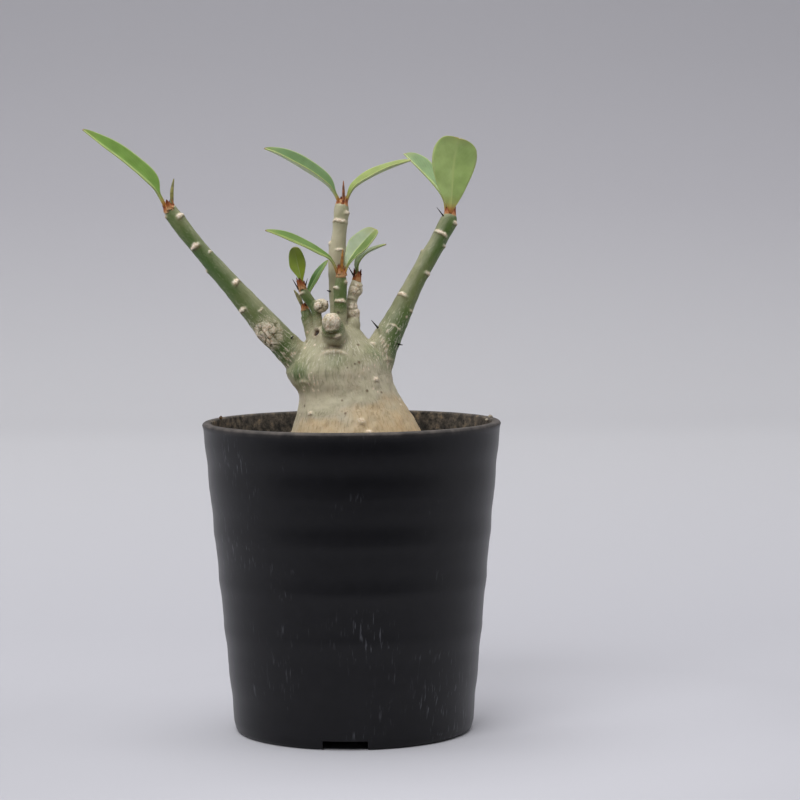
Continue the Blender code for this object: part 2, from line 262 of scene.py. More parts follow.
dull = add(tree, "Math", {0: wear.outputs["Red"], 1: wear.outputs["Green"]},
           operation="MAXIMUM").outputs["Value"]
rough = add(tree, "MapRange", {"Value": dull, "To Min": 0.34, "To Max": 0.8}).outputs["Result"]
tree.links.new(rough, shader.inputs["Roughness"])
bump = add(tree, "Bump", {"Height": cloud, "Strength": 0.12, "Distance": 0.0002})
tree.links.new(bump.outputs["Normal"], shader.inputs["Normal"])


def wall_radius(z):
    """Outer radius of the pot's wall, with its moulded rings fading out at the rim."""
    straight = FOOT_RADIUS + (TOP_RADIUS - 0.1 * MM - FOOT_RADIUS) * z / POT_TOP
    fade = min(1, max(0, (POT_TOP - 3 * MM - z) / (4 * MM)))
    wave = math.cos(math.tau * (z - 3.4 * MM) / RING_SPACING)
    rings = wave + 0.6 * max(0, wave) ** 6 + 0.35 * math.cos(math.tau * z / (7.9 * MM) + 1)
    return straight + RING_DEPTH * rings * fade


def rounded(centre, radius, start, end, steps):
    """An arc of the pot's outline, from one angle to another in degrees."""
    turns = [math.radians(start + (end - start) * i / steps) for i in range(steps + 1)]
    return [(centre[0] + radius * math.cos(t), centre[1] + radius * math.sin(t)) for t in turns]


inner_slope = (TOP_RADIUS - FOOT_RADIUS) / POT_TOP
inner_foot = FOOT_RADIUS - WALL
outline = [(0, POT_FLOOR)]
outline += rounded((inner_foot - 1.5 * MM, POT_FLOOR + 2 * MM), 2 * MM, -90, 0, 4)
outline += [(inner_foot + inner_slope * z * MM, z * MM) for z in range(10, 93, 4)]
outline += rounded((TOP_RADIUS - WALL + INNER_LIP, POT_TOP - INNER_LIP), INNER_LIP, 180, 90, 5)
outline += rounded((TOP_RADIUS - OUTER_LIP, POT_TOP - OUTER_LIP), OUTER_LIP, 90, 0, 6)
outline += [(wall_radius(z * MM), z * MM) for z in range(92, 2, -1)]
outline += rounded((FOOT_RADIUS - FOOT_ROUND, FOOT_ROUND), FOOT_ROUND, 0, -90, 5)
outline += [(inner_foot, 0), (inner_foot - 0.3 * MM, BASE_HOLLOW), (BOSS_RADIUS + 0.6 * MM, BASE_HOLLOW),
            (BOSS_RADIUS, 0), (0, 0)]
pot_mesh = bmesh.new()
line = [pot_mesh.verts.new((r, 0, z)) for r, z in outline]
geometry = line + [pot_mesh.edges.new(pair) for pair in zip(line, line[1:])]
bmesh.ops.spin(pot_mesh, geom=geometry, cent=(0, 0, 0), axis=(0, 0, 1), angle=math.tau,
               steps=POT_TURNS, use_merge=True)
bmesh.ops.remove_doubles(pot_mesh, verts=pot_mesh.verts, dist=0.01 * MM)
bmesh.ops.recalc_face_normals(pot_mesh, faces=pot_mesh.faces)
pot = new_piece("nursery_pot", pot_mesh, pot_plastic)

# three notches in the foot and three drain holes between them are cut out
cutter_mesh = bmesh.new()
for i in range(3):
    turn = Matrix.Rotation(NOTCH_ANGLE + i * math.tau / 3, 4, "Z")
    shape = turn @ Matrix.Translation((FOOT_RADIUS - 1 * MM, 0, 0)) @ Matrix.Diagonal(NOTCH_SIZE)
    bmesh.ops.create_cube(cutter_mesh, size=1, matrix=shape)
    turn = Matrix.Rotation(NOTCH_ANGLE + (i + 0.5) * math.tau / 3, 4, "Z")
    shape = turn @ Matrix.Translation((DRAIN_CIRCLE, 0, POT_FLOOR))
    bmesh.ops.create_cone(cutter_mesh, cap_ends=True, segments=40, radius1=DRAIN_RADIUS,
                          radius2=DRAIN_RADIUS, depth=12 * MM, matrix=shape)
cutter = new_piece("notch_cutter", cutter_mesh, pot_plastic)
cut = pot.modifiers.new("notches", "BOOLEAN")
cut.operation = "DIFFERENCE"
cut.object = cutter
pot.data = bpy.data.meshes.new_from_object(pot.evaluated_get(bpy.context.evaluated_depsgraph_get()))
pot.modifiers.clear()
bpy.data.objects.remove(cutter)
# the wear is kept at the points: red for the scuffed rim, green for the dirt inside
worn_places = pot.data.attributes.new("wear", "FLOAT_COLOR", "POINT")
for vertex, mark in zip(pot.data.vertices, worn_places.data):
    x, y, z = vertex.co
    radius = math.hypot(x, y)
    middle = FOOT_RADIUS + inner_slope * z - WALL * 0.6
    rim = min(1, max(0, (z - POT_TOP + 1.1 * MM) / (0.6 * MM)))
    patchy = 0.5 + 0.9 * noise.noise(vertex.co * 180)
    inside = 1.0 if radius < middle and z > POT_FLOOR + 1 * MM else 0.0
    mark.color = (rim * (0.55 + 0.4 * patchy), inside * (0.6 + 0.5 * patchy), 0, 1)
pot.data.shade_smooth()
pot.data.set_sharp_from_angle(angle=math.radians(35))
stand_for(pot, "pot", "pot")

# ---- Potting grit: pumice, hard-baked clay grains and bark crumbs, 1 to 4 mm, dry and matt ----
# A bumpy bed fills the pot to about 10 mm below the rim, with loose grains lying on top of it.

soil_low, soil_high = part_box("soil")
SOIL_RADIUS = soil_high.x - 0.15 * MM
SOIL_TOP = soil_high.z - 0.9 * MM
BED_RINGS = 40
BED_TURNS = 150
GRAIN_COUNT = 1500
GRAIN_SIZES = (0.6, 0.8, 0.9, 1.1, 1.4, 1.9)              # radius, mm
GRAIN_TONES = (0.1, 0.3, 0.45, 0.55, 0.62, 0.75, 0.95)    # from dark bark to white pumice
# crumbs that lie on the pot's rim: place and radius in millimetres, tone
RIM_CRUMBS = (
    ((-40.2, 12.2, 94.3), 0.55, 0.35), ((42.6, 9.6, 94.0), 0.8, 0.85), ((41.4, 7.6, 93.4), 0.5, 0.9),
)

grit, tree, shader = new_material("loose_potting_grit", 0.95)
place = add(tree, "TexCoord").outputs["Object"]
grain_tint = add(tree, "Attribute", attribute_name="grain").outputs["Fac"]
speck = add(tree, "TexNoise", {"Vector": place, "Scale": 1400.0, "Detail": 5.0}).outputs["Fac"]
tint = ramp(tree, grain_tint, (0.0, "2c231a"), (0.3, "5b4630"), (0.55, "8a6b48"), (0.75, "a89a86"),
            (0.95, "cfc6b4"))
shadow = ramp(tree, speck, (0.3, "6a6a6a"), (0.6, "ffffff"))
tint = add(tree, "Mix", {"Factor": 1.0, "A": tint, "B": shadow}, data_type="RGBA",
           blend_type="MULTIPLY").outputs[2]
tree.links.new(tint, shader.inputs["Base Color"])
bump = add(tree, "Bump", {"Height": speck, "Strength": 0.6, "Distance": 0.0003})
tree.links.new(bump.outputs["Normal"], shader.inputs["Normal"])

random.seed(11)
bed = bmesh.new()
tint_layer = bed.verts.layers.float.new("grain")
profile = [(SOIL_RADIUS * i / BED_RINGS, SOIL_TOP) for i in range(BED_RINGS)]
profile += [(SOIL_RADIUS, SOIL_TOP - 1 * MM), (inner_foot + 0.2 * MM, soil_low.z), (0, soil_low.z)]
line = [bed.verts.new((r, 0, z)) for r, z in profile]
geometry = line + [bed.edges.new(pair) for pair in zip(line, line[1:])]
bmesh.ops.spin(bed, geom=geometry, cent=(0, 0, 0), axis=(0, 0, 1), angle=math.tau,
               steps=BED_TURNS, use_merge=True)
bmesh.ops.remove_doubles(bed, verts=bed.verts, dist=0.01 * MM)
bmesh.ops.recalc_face_normals(bed, faces=bed.faces)
for vertex in bed.verts:
    if vertex.co.z > SOIL_TOP - 0.5 * MM:
        bumps = 0.5 * noise.noise(vertex.co * 500) + 0.3 * noise.noise(vertex.co * 1100)
        vertex.co.z += (bumps - 0.5) * MM
    vertex[tint_layer] = 0.25 + 0.3 * noise.noise(vertex.co * 700)
for i in range(GRAIN_COUNT):
    size = random.choice(GRAIN_SIZES) * MM
    spread = math.sqrt(random.uniform(0.27, 1)) * (SOIL_RADIUS - 1.2 * size)
    turn = random.uniform(0, math.tau)
    sunk = 0.5 * MM - random.uniform(0, 0.35) * size
    centre = Vector((spread * math.cos(turn), spread * math.sin(turn), SOIL_TOP - sunk))
    axis = Vector((random.gauss(0, 1), random.gauss(0, 1), 1)).normalized()
    shape = Matrix.Translation(centre) @ Quaternion(axis, turn * 3).to_matrix().to_4x4()
    cuts = 1 if size < 1 * MM else 2
    grain = bmesh.ops.create_icosphere(bed, subdivisions=cuts, radius=size, matrix=shape)["verts"]
    tone = random.choice(GRAIN_TONES)
    for vertex in grain:
        offset = vertex.co - centre
        vertex.co = centre + offset * (0.85 + 0.35 * noise.noise(vertex.co * 900 + Vector((i, 0, 0))))
        vertex[tint_layer] = tone
for place_on_rim, size, tone in RIM_CRUMBS:
    seat = Matrix.Translation(Vector(place_on_rim) * MM)
    crumb = bmesh.ops.create_icosphere(bed, subdivisions=2, radius=size * MM, matrix=seat)["verts"]
    for vertex in crumb:
        vertex.co.z -= 0.3 * size * MM * noise.noise(vertex.co * 2000)
        vertex[tint_layer] = tone
soil = new_piece("potting_grit", bed, grit, smooth=False)
stand_for(soil, "soil", "soil")

# ---- Caudex and stems: one living body of soft green wood, smooth barked, swollen at its foot ----
# The bark is silvery green and finely wrinkled, golden tan at the foot, with cream scars of old leaves.

# centre line and radius in millimetres, from the root's tip to the crown
CAUDEX = (
    (3, 3, 36, 1.6), (2, 2, 50, 7), (1, 1, 64, 14), (1.2, 0, 77, 20.8), (1.4, 0, 84, 22.2),
    (1.3, 0, 91, 19.5), (0.4, 0, 97.5, 16.7), (-0.9, 0, 102.5, 15.0), (-2.9, 0, 106.2, 15.5),
    (-3.8, 0, 109.5, 15.8), (-3.4, 0, 114, 13.8), (-4, 0, 118.5, 9.6), (-4.7, 0, 122, 6.9),
    (-4.9, 0, 123.8, 4),
)
# the same for every stem, from its foot inside the wood to its tip
STEMS = {
    "left_stem": (
        (-9, -1, 107.5, 5.6), (-16, -1.2, 113.3, 4.6), (-25.3, -2.1, 123.1, 4.1),
        (-31.9, -2.7, 130.8, 3.4), (-38.3, -3.4, 138.4, 2.9), (-44.6, -4, 145.8, 2.45),
        (-50.6, -4.6, 153.4, 2.5), (-54, -5, 158.6, 1.9),
    ),
    "centre_stem": (
        (-3.6, 3.6, 116, 3.2), (-3.7, 3.7, 124, 2.6), (-4.2, 3.8, 134, 2.5), (-4, 4.1, 144, 2.6),
        (-3.1, 4.3, 152, 2.1), (-2.6, 4.4, 157.5, 2.3), (-2.4, 4.5, 159.6, 1.9),
    ),
    "right_stem": (
        (6, -0.3, 109, 6.3), (9.0, 0.4, 115.4, 4.9), (12.8, 1.5, 122.5, 4.0), (16.5, 2.4, 129.8, 3.25),
        (20.2, 3.4, 137, 2.8), (26.4, 4.9, 147.6, 2.6), (29.8, 5.7, 154.2, 2.6), (30.4, 6, 156.3, 1.9),
    ),
    "front_stump": (
        (-4, -4, 117.5, 3.8), (-4.6, -7.3, 119.4, 3.8), (-5.2, -9.8, 121.6, 3.6),
        (-5.7, -11.5, 124.6, 2.8), (-5.9, -12.1, 126.9, 1.6),
    ),
    "front_shoot": (
        (-3.8, -3.2, 119, 2.3), (-3.2, -3.4, 127, 2), (-3, -3.6, 133.8, 1.9), (-2.8, -3.8, 138.9, 1.5),
    ),
    "back_shoot": (
        (0.2, 0.3, 118, 2.5), (0.5, 0.3, 123.9, 2), (0.3, 0.3, 129.5, 1.6), (1.2, 0.3, 133.6, 1.9),
        (1.9, 0.3, 136.9, 1.3),
    ),
    "spoon_shoot": (
        (-9.4, -3, 117, 1.7), (-9.9, -3.1, 123, 1.3), (-10.6, -3.2, 127.8, 1.4),
        (-13.1, -3.4, 131.9, 1.5), (-14.6, -3.5, 134.6, 1.2),
    ),
    "outer_shoot": (
        (-10.6, 1.2, 116.5, 2), (-12.4, 1.1, 122.2, 2), (-13.4, 0.9, 126.6, 1.5),
        (-14, 0.8, 128.6, 1.1),
    ),
}
# leaf scars seen from the front: x and z in millimetres, half width and height of the scar, cream strength
SCARS = {
    "left_stem": (
        (-46.5, 147.3, 1.5, 0.8, 1.0), (-43.2, 139.5, 1.0, 0.6, 0.8), (-34.2, 136.6, 1.3, 0.8, 1.0),
        (-32.6, 128.0, 1.4, 0.6, 1.0), (-55.6, 155.9, 1.2, 0.7, 0.9), (-50.8, 156.6, 1.3, 0.7, 1.0),
        (-27.2, 121.0, 1.5, 0.6, 0.7), (-42.0, 145.6, 0.9, 0.4, 0.6), (-27.0, 128.2, 1.0, 0.4, 0.5),
    ),
    "right_stem": (
        (27.6, 150.8, 2.0, 0.6, 1.0), (22.0, 145.0, 1.1, 0.6, 0.8), (23.3, 138.5, 1.1, 0.6, 0.9),
        (28.4, 146.8, 0.8, 0.5, 0.8), (15.6, 132.4, 1.5, 0.6, 1.0), (13.3, 122.8, 1.9, 0.35, 0.6),
        (31.8, 153.6, 1.0, 0.6, 1.0), (18.3, 127.2, 0.9, 0.4, 0.7),
    ),
    "centre_stem": (
        (-3.4, 154.8, 2.1, 0.5, 1.0), (-0.8, 157.0, 1.0, 0.5, 0.9), (-6.0, 147.8, 1.0, 0.6, 0.9),
        (-3.2, 146.0, 1.2, 0.4, 0.8),
    ),
    "front_shoot": (
        (-4.4, 134.6, 1.1, 0.45, 0.9), (-3.1, 130.8, 1.5, 0.5, 1.0), (-1.5, 136.2, 0.7, 0.5, 0.8),
    ),
    "back_shoot": (
        (0.3, 131.4, 1.0, 0.5, 0.9), (-0.2, 128.3, 0.9, 0.4, 0.8), (2.8, 135.2, 0.9, 0.7, 0.9),
        (0.3, 123.2, 2.0, 1.1, 0.9),
    ),
    "spoon_shoot": (
        (-15.0, 133.0, 1.1, 0.5, 1.0), (-9.3, 129.2, 2.2, 1.7, 1.0),
    ),
    "front_stump": (
        (-5.9, 124.8, 2.3, 1.9, 0.9), (-5.9, 122.4, 1.5, 0.45, 0.9), (-4.0, 120.6, 1.1, 0.4, 0.7),
        (-3.4, 118.2, 0.9, 0.6, 0.35),
    ),
    "caudex": (
        (-12.2, 97.2, 0.9, 0.5, 0.8), (2.9, 95.2, 1.0, 0.9, 0.6), (5.2, 92.1, 0.9, 0.7, 0.7),
        (7.3, 107.1, 0.9, 0.8, 0.9), (6.4, 117.3, 1.0, 0.7, 0.7), (-5.2, 115.6, 2.6, 0.5, 0.5),
    ),
}
# knobs where shoots were pruned and have healed over: centre and radius in millimetres
KNOBS = ((-9.0, -3.9, 129.2, 1.9), (0.5, -1.2, 123.0, 2.3), (2.3, -0.3, 133.2, 1.3))
# rough grey calluses: stem, x and z in millimetres, half length, half width, height, how cracked
CALLUSES = (
    ("left_stem", -25.2, 120.6, 4.6, 4.4, 0.4, 1.0), ("spoon_shoot", -8.8, 129.2, 2.1, 2.4, 0.2, 0.9),
    ("front_stump", -5.9, 124.8, 2.6, 3.0, 0.25, 0.3), ("back_shoot", 0.4, 123.0, 1.9, 2.2, 0.1, 0.35),
    ("back_shoot", 0.6, 128.9, 1.0, 1.6, 0.3, 0.8), ("back_shoot", 1.4, 133.6, 2.0, 1.8, 0.2, 0.9),
)
# black remains of scales: stem, foot and point in millimetres
SPINES = (
    ("right_stem", (8.2, -2.4, 122.2), (6.2, -3.4, 124.6)),
    ("right_stem", (14.2, -1.5, 117.2), (15.6, -2.2, 117.0)),
    ("spoon_shoot", (-7.9, -5.0, 129.4), (-6.8, -5.8, 130.6)),
    ("left_stem", (-18.2, -4.4, 119.2), (-17.2, -5.4, 120.2)),
    ("centre_stem", (-6.2, 2.2, 133.2), (-7.2, 1.7, 133.5)),
)
# green swellings under the stems, their darker green partly the wood's own and partly painted shade under
# the stems: centre and size in millimetres, how green
SHOULDERS = (
    ((-15.6, -8.5, 108.6), 4.2, 0.45), ((7.5, -7, 115), 3.2, 0.35), ((-19, -4, 113), 4, 0.25),
    ((-4, -13, 113.6), 3.4, 0.2), ((11, -6, 112), 3.0, 0.25),
)
# tan ridges, and creases darkened with painted shade: limb, x and z in millimetres, half length, rise, tan
# strength
RIDGES = (
    ("caudex", -5.0, 115.8, 4.2, 0.3, 0.7), ("caudex", -5.4, 117.0, 3.2, -0.35, 0.0),
    ("caudex", 11.0, 112.8, 2.6, 0.25, 0.4), ("caudex", -14.2, 106.8, 2.2, 0.25, 0.4),
    ("front_stump", -5.6, 121.3, 1.9, -0.3, 0.0), ("front_stump", -5.0, 119.0, 2.4, -0.25, 0.0),
)
# fields of short pale streaks where the skin has stretched: limb, x and z in millimetres, spread
STREAKS = (
    ("caudex", 9.5, 112.6, 3.0), ("caudex", -14.5, 106.6, 2.6), ("right_stem", 10.0, 117.5, 2.2),
    ("left_stem", -20, 113.0, 2.6),
)
STREAKS_EACH = 16
SPECK_COUNT = 200
HOLE = (-10.3, 121.0)             # x and z of a small hole in the crown, painted black as shade, mm
VOXEL = 0.276                     # grain of the mesh that joins the limbs, mm
WRINKLE = 0.66                    # spacing of the bark's fine wrinkles, mm
STRETCH = 0.2                     # how short the bark's pattern is drawn along a limb
BLEND = 0.7                       # how far the looks of two limbs run into each other, mm
SMOOTH_PASSES = 9                 # how often the joined mesh is evened out
RING_SEGMENTS = 96                # corners of each level ring of the caudex
SCAR_RISE = 0.7                   # height of a full scar's ledge, mm
SOIL_LINE = 82                    # below this height only soil touches the wood, mm

bark, tree, shader = new_material("living_succulent_bark", 0.55)
place = add(tree, "TexCoord").outputs["Object"]
along = add(tree, "Attribute", attribute_name="grain_line").outputs["Vector"]
marks = add(tree, "Attribute", attribute_name="marks")
haze_and_painted_light = marks.outputs["Alpha"]
marks = add(tree, "SeparateColor", {"Color": marks.outputs["Color"]})
age = add(tree, "Attribute", attribute_name="age").outputs["Fac"]
broad = add(tree, "TexNoise", {"Vector": place, "Scale": 190.0, "Detail": 5.0}).outputs["Fac"]
fine = add(tree, "TexNoise", {"Vector": along, "Scale": 1 / WRINKLE, "Detail": 2.0,
                              "Roughness": 0.5}).outputs["Fac"]
speck = add(tree, "TexNoise", {"Vector": place, "Scale": 1900.0, "Detail": 4.0}).outputs["Fac"]
drift = add(tree, "MapRange", {"Value": broad, "To Min": -0.2, "To Max": 0.2}).outputs["Result"]
age = add(tree, "Math", {0: age, 1: drift}, operation="ADD").outputs["Value"]
skin = ramp(tree, age, (0.0, "c6a372"), (0.2, "bea37a"), (0.36, "aca188"), (0.5, "8b8a66"),
            (0.64, "6e7746"), (0.82, "52692d"), (1.0, "426023"))
silver = ramp(tree, fine, (0.36, "202020"), (0.62, "d0d0d0"))
# painted highlight: the silver bloom is stronger where the blue mark carries the lit side's painted light
bloom_and_painted_highlight = add(tree, "Math", {0: silver, 1: marks.outputs["Blue"]}, operation="MULTIPLY").outputs["Value"]
skin = add(tree, "Mix", {"Factor": bloom_and_painted_highlight, "A": skin, "B": paint("cfc4aa")}, data_type="RGBA").outputs[2]
furrow = ramp(tree, fine, (0.33, "96948a"), (0.47, "ffffff"))
deep = add(tree, "Math", {0: marks.outputs["Blue"], 1: 0.85}, operation="MULTIPLY").outputs["Value"]
skin = add(tree, "Mix", {"Factor": deep, "A": skin, "B": furrow}, data_type="RGBA",
           blend_type="MULTIPLY").outputs[2]
patchy = add(tree, "MapRange", {"Value": broad, "From Min": 0.35, "From Max": 0.6,
                                "To Min": 0.45}).outputs["Result"]
haze_and_painted_light = add(tree, "Math", {0: haze_and_painted_light, 1: patchy}, operation="MULTIPLY").outputs["Value"]
# short silvery flecks run along the limbs where the skin is weathered
fleck = add(tree, "TexNoise", {"Vector": along, "Scale": 1.9, "Detail": 3.0,
                               "Roughness": 0.6}).outputs["Fac"]
fleck = add(tree, "MapRange", {"Value": fleck, "From Min": 0.55, "From Max": 0.66}).outputs["Result"]
worn = add(tree, "Attribute", attribute_name="worn").outputs["Fac"]
fleck = add(tree, "Math", {0: fleck, 1: worn}, operation="MULTIPLY").outputs["Value"]
brown = ramp(tree, speck, (0.4, "3a2718"), (0.65, "7a5a38"))
char = add(tree, "MapRange", {"Value": marks.outputs["Green"], "From Min": 1.0,
                              "From Max": 2.0}).outputs["Result"]
cream = ramp(tree, speck, (0.35, "cdae8e"), (0.6, "f4e8d4"))
# haze with painted light, flecks, brown with painted shade, black with painted shade in the hole, and cream
# lie over the skin in this order
LAYERS = ((haze_and_painted_light, paint("c6bea2")), (fleck, paint("cfc9b4")), (marks.outputs["Green"], brown),
          (char, paint("14100e")), (marks.outputs["Red"], cream))
for amount, tint in LAYERS:
    skin = add(tree, "Mix", {"Factor": amount, "A": skin, "B": tint}, data_type="RGBA").outputs[2]
tree.links.new(skin, shader.inputs["Base Color"])
shader.inputs["Subsurface Weight"].default_value = 0.06
shader.inputs["Subsurface Radius"].default_value = (0.6, 0.8, 0.3)
shader.inputs["Subsurface Scale"].default_value = 0.0008
bump = add(tree, "Bump", {"Height": fine, "Strength": 0.5, "Distance": 0.0002})
bump = add(tree, "Bump", {"Height": speck, "Strength": 0.25, "Distance": 0.0001,
                          "Normal": bump.outputs["Normal"]})
tree.links.new(bump.outputs["Normal"], shader.inputs["Normal"])


def smooth_route(points, per_span):
    """Catmull-Rom points through a few given ones; each point also carries a radius."""
    ends = [points[0]] + list(points) + [points[-1]]
    route = []
    for a, b, c, d in zip(ends, ends[1:], ends[2:], ends[3:]):
        for i in range(per_span):
            t = i / per_span
            route.append([0.5 * (2 * q + (r - p) * t + (2 * p - 5 * q + 4 * r - s) * t * t
                                 + (3 * q - p - 3 * r + s) * t ** 3) for p, q, r, s in zip(a, b, c, d)])
    return route + [list(points[-1])]


def round_line(name, route, unit_size, resolution):
    """A closed round tube along points that each carry a radius, as a mesh."""
    curve = bpy.data.curves.new(name, "CURVE")
    curve.dimensions = "3D"
    curve.bevel_depth = unit_size
    curve.bevel_resolution = resolution
    curve.use_fill_caps = True
    spline = curve.splines.new("POLY")
    spline.points.add(len(route) - 1)
    for point, (x, y, z, radius) in zip(spline.points, route):
        point.co = (x * unit_size, y * unit_size, z * unit_size, 1)
        point.radius = radius
    shape = bpy.data.objects.new(name + "_line", curve)
    bpy.context.scene.collection.objects.link(shape)
    tube_mesh = bpy.data.meshes.new_from_object(shape.evaluated_get(bpy.context.evaluated_depsgraph_get()))
    bpy.data.objects.remove(shape)
    tube = bmesh.new()
    tube.from_mesh(tube_mesh)
    bmesh.ops.remove_doubles(tube, verts=tube.verts, dist=0.001 * unit_size)
    return tube


# the stems are tubes, the caudex is a stack of level rings, and a voxel mesh joins them into one skin
owners = ["caudex"] + list(STEMS)
wood = bmesh.new()
for x, y, z, radius in KNOBS:
    bmesh.ops.create_icosphere(wood, subdivisions=3, radius=radius, matrix=Matrix.Translation((x, y, z)))
for name, route in STEMS.items():
    tube = round_line(name, smooth_route(route, 4), 1, 8)
    tube_mesh = bpy.data.meshes.new(name)
    tube.to_mesh(tube_mesh)
    tube.free()
    wood.from_mesh(tube_mesh)
rings = smooth_route([p for p in CAUDEX if p[2] > SOIL_LINE - 6], 5)
ring = bmesh.ops.create_circle(wood, cap_ends=True, segments=RING_SEGMENTS, radius=1)["verts"]
old_flat = 1
for x, y, z, radius in rings:
    if z > rings[0][2]:
        touching = {e for v in ring for e in v.link_edges}
        rim_edges = [e for e in touching if e.verts[0] in ring and e.verts[1] in ring]
        grown = bmesh.ops.extrude_edge_only(wood, edges=rim_edges)["geom"]
        ring = [g for g in grown if isinstance(g, bmesh.types.BMVert)]
    middle = sum((v.co for v in ring), Vector()) / len(ring)
    size = max(v.co.x for v in ring) - middle.x
    # the crown is flatter from front to back, and its widest places are the shoulders under the stems
    flat = float(np.interp(z, (97, 103, 108, 114, 120), (1, 0.96, 0.87, 0.88, 1)))
    for vertex in ring:
        across, through = (vertex.co.x - middle.x) * radius / size, (vertex.co.y - middle.y) * radius / size
        vertex.co = (x + across, y + through * flat / old_flat, z)
    old_flat = flat
bmesh.ops.holes_fill(wood, edges=[e for e in wood.edges if e.is_boundary], sides=0)
bmesh.ops.recalc_face_normals(wood, faces=wood.faces)
joined = new_piece("joined_wood", wood, bark)
fuse = joined.modifiers.new("fuse", "REMESH")
fuse.mode = "VOXEL"
fuse.voxel_size = VOXEL
even = joined.modifiers.new("even", "SMOOTH")
even.iterations = SMOOTH_PASSES
even.factor = 0.6
mesh = bpy.data.meshes.new_from_object(joined.evaluated_get(bpy.context.evaluated_depsgraph_get()))
bpy.data.objects.remove(joined)


def read(layer, field, width, kind=np.float32):
    """One field of a mesh layer as a numpy array with a row for each element."""
    values = np.empty(len(layer) * width, kind)
    layer.foreach_get(field, values)
    return values.reshape(-1, width) if width > 1 else values


def unit(vectors):
    """The same directions, one long."""
    return vectors / np.maximum(np.linalg.norm(vectors, axis=-1, keepdims=True), 1e-6)


points = read(mesh.vertices, "co", 3).astype(float)
normals = read(mesh.vertices, "normal", 3).astype(float)
faces = read(mesh.loops, "vertex_index", 1, np.int32).reshape(-1, 4)
edges = read(mesh.edges, "vertices", 2, np.int32)
count = len(points)
# every point's depth below each limb's surface, and its place on that limb
depth = np.full((len(owners), count), 1e9)
centre = np.zeros((len(owners), count, 3))
tangent = np.zeros((len(owners), count, 3))
run = np.zeros((len(owners), count))
girth = np.ones((len(owners), count))
for index, name in enumerate(owners):
    line = np.array(smooth_route(STEMS.get(name, CAUDEX), 8))
    step = unit(np.gradient(line[:, :3], axis=0))
    if name == "caudex":
        step[:] = (0, 0, 1)
    reach = np.concatenate(([0], np.cumsum(np.linalg.norm(np.diff(line[:, :3], axis=0), axis=1))))
    for k in range(len(line)):
        away = points - line[k, :3]
        gap = np.linalg.norm(away, axis=1) - line[k, 3]
        closer = gap < depth[index]
        depth[index, closer] = gap[closer]
        centre[index, closer] = line[k, :3]
        tangent[index, closer] = step[k]
        run[index, closer] = reach[k] + away[closer] @ step[k]
        girth[index, closer] = line[k, 3]
owner = depth.argmin(axis=0)
# the border between two limbs is evened out by a few rounds of votes among neighbours
for _ in range(8):
    votes = np.zeros((count, len(owners)))
    votes[np.arange(count), owner] = 1.5
    for a, b in ((0, 1), (1, 0)):
        np.add.at(votes, (edges[:, a], owner[edges[:, b]]), 1)
    owner = votes.argmax(axis=1)
share = np.exp(-(depth - depth.min(axis=0)) / BLEND)
share /= share.sum(axis=0)
radial = points - centre
radial -= (radial * tangent).sum(axis=2, keepdims=True) * tangent
radial = unit(radial)
grain_line = radial * np.maximum(girth, 2)[:, :, None] + tangent * (STRETCH * run)[:, :, None]
grain_line = (grain_line * share[:, :, None]).sum(axis=0)
on_caudex = share[0]
height = points[:, 2]
stem_run = (run * share).sum(axis=0)
thick = (girth * share).sum(axis=0)

# painted light: the sides of the wood that face up, to the left and to the front are painted paler and more
# silvery; the old soil line slants up to the right
painted_light_side = normals[:, 2] * 0.95 - normals[:, 1] * 0.12 - normals[:, 0] * 0.15
slant = height - 0.28 * points[:, 0] + 3 * np.array([noise.noise(Vector(p) * 0.22) for p in points])
# painted highlight: a pale band slants round the caudex's waist and is added to the crown's haze
painted_waist_highlight = np.exp(-((height - 101.6 - 0.18 * points[:, 0]) / 1.5) ** 2)
caudex_age = np.interp(slant, (84, 93, 97, 100.5, 102.5, 104.5, 109, 114, 122),
                       (0.03, 0.13, 0.24, 0.42, 0.43, 0.34, 0.38, 0.5, 0.5))
green_and_painted_shade = np.zeros(count)
# partly painted shade: under the stems the wood turns darker green and loses silver and haze
for place, size, green in SHOULDERS:
    near_it = np.exp(-(np.linalg.norm(points - place, axis=1) / size) ** 2)
    caudex_age += green * near_it
    green_and_painted_shade = np.maximum(green_and_painted_shade, min(1, 2 * green) * near_it)
stem_age = 0.76 + 0.12 * np.sin(stem_run * 0.16)
# painted light: the stems are hazier on the sides that face the light
stem_haze_and_painted_light = 0.8 * np.clip(painted_light_side - 0.08, 0, 1)
for name, greener, paler in (("centre_stem", -0.2, 0.65), ("left_stem", 0.08, 0), ("right_stem", 0.05, 0),
                             ("back_shoot", -0.35, 0.9)):
    stem_age += greener * share[owners.index(name)]
    stem_haze_and_painted_light += paler * share[owners.index(name)]
age = on_caudex * caudex_age + (1 - on_caudex) * stem_age
wrinkled = np.interp(slant, (84, 96, 101, 104, 111, 114, 120), (0.35, 0.4, 0.45, 0.75, 0.75, 0.4, 0.2))
# painted highlight: silver wrinkles are stronger on the lit side of the stems and, a little, of the caudex
stem_silver_and_painted_light = 0.06 + 0.25 * np.clip(painted_light_side - 0.1, 0, 1)
silver = on_caudex * (wrinkled + 0.1 * painted_light_side) + (1 - on_caudex) * stem_silver_and_painted_light
crown_haze_and_painted_highlight = np.interp(slant, (92, 97, 100, 101.5, 104, 112, 118), (0.3, 0.25, 0.15, 0.25, 0.7, 0.4, 0.5))
crown_haze_and_painted_highlight += 0.7 * painted_waist_highlight
# red marks cream scars, green brown and black, partly painted shade under scars, in creases and in the hole,
# blue silver wrinkles with painted highlight on the lit side, alpha a pale haze with painted light
marks = np.zeros((count, 4))
marks[:, 2] = np.clip(silver, 0, 1) * (1 - 0.6 * green_and_painted_shade)
marks[:, 3] = np.clip(on_caudex * crown_haze_and_painted_highlight + (1 - on_caudex) * stem_haze_and_painted_light, 0, 1) * (1 - 0.9 * green_and_painted_shade)
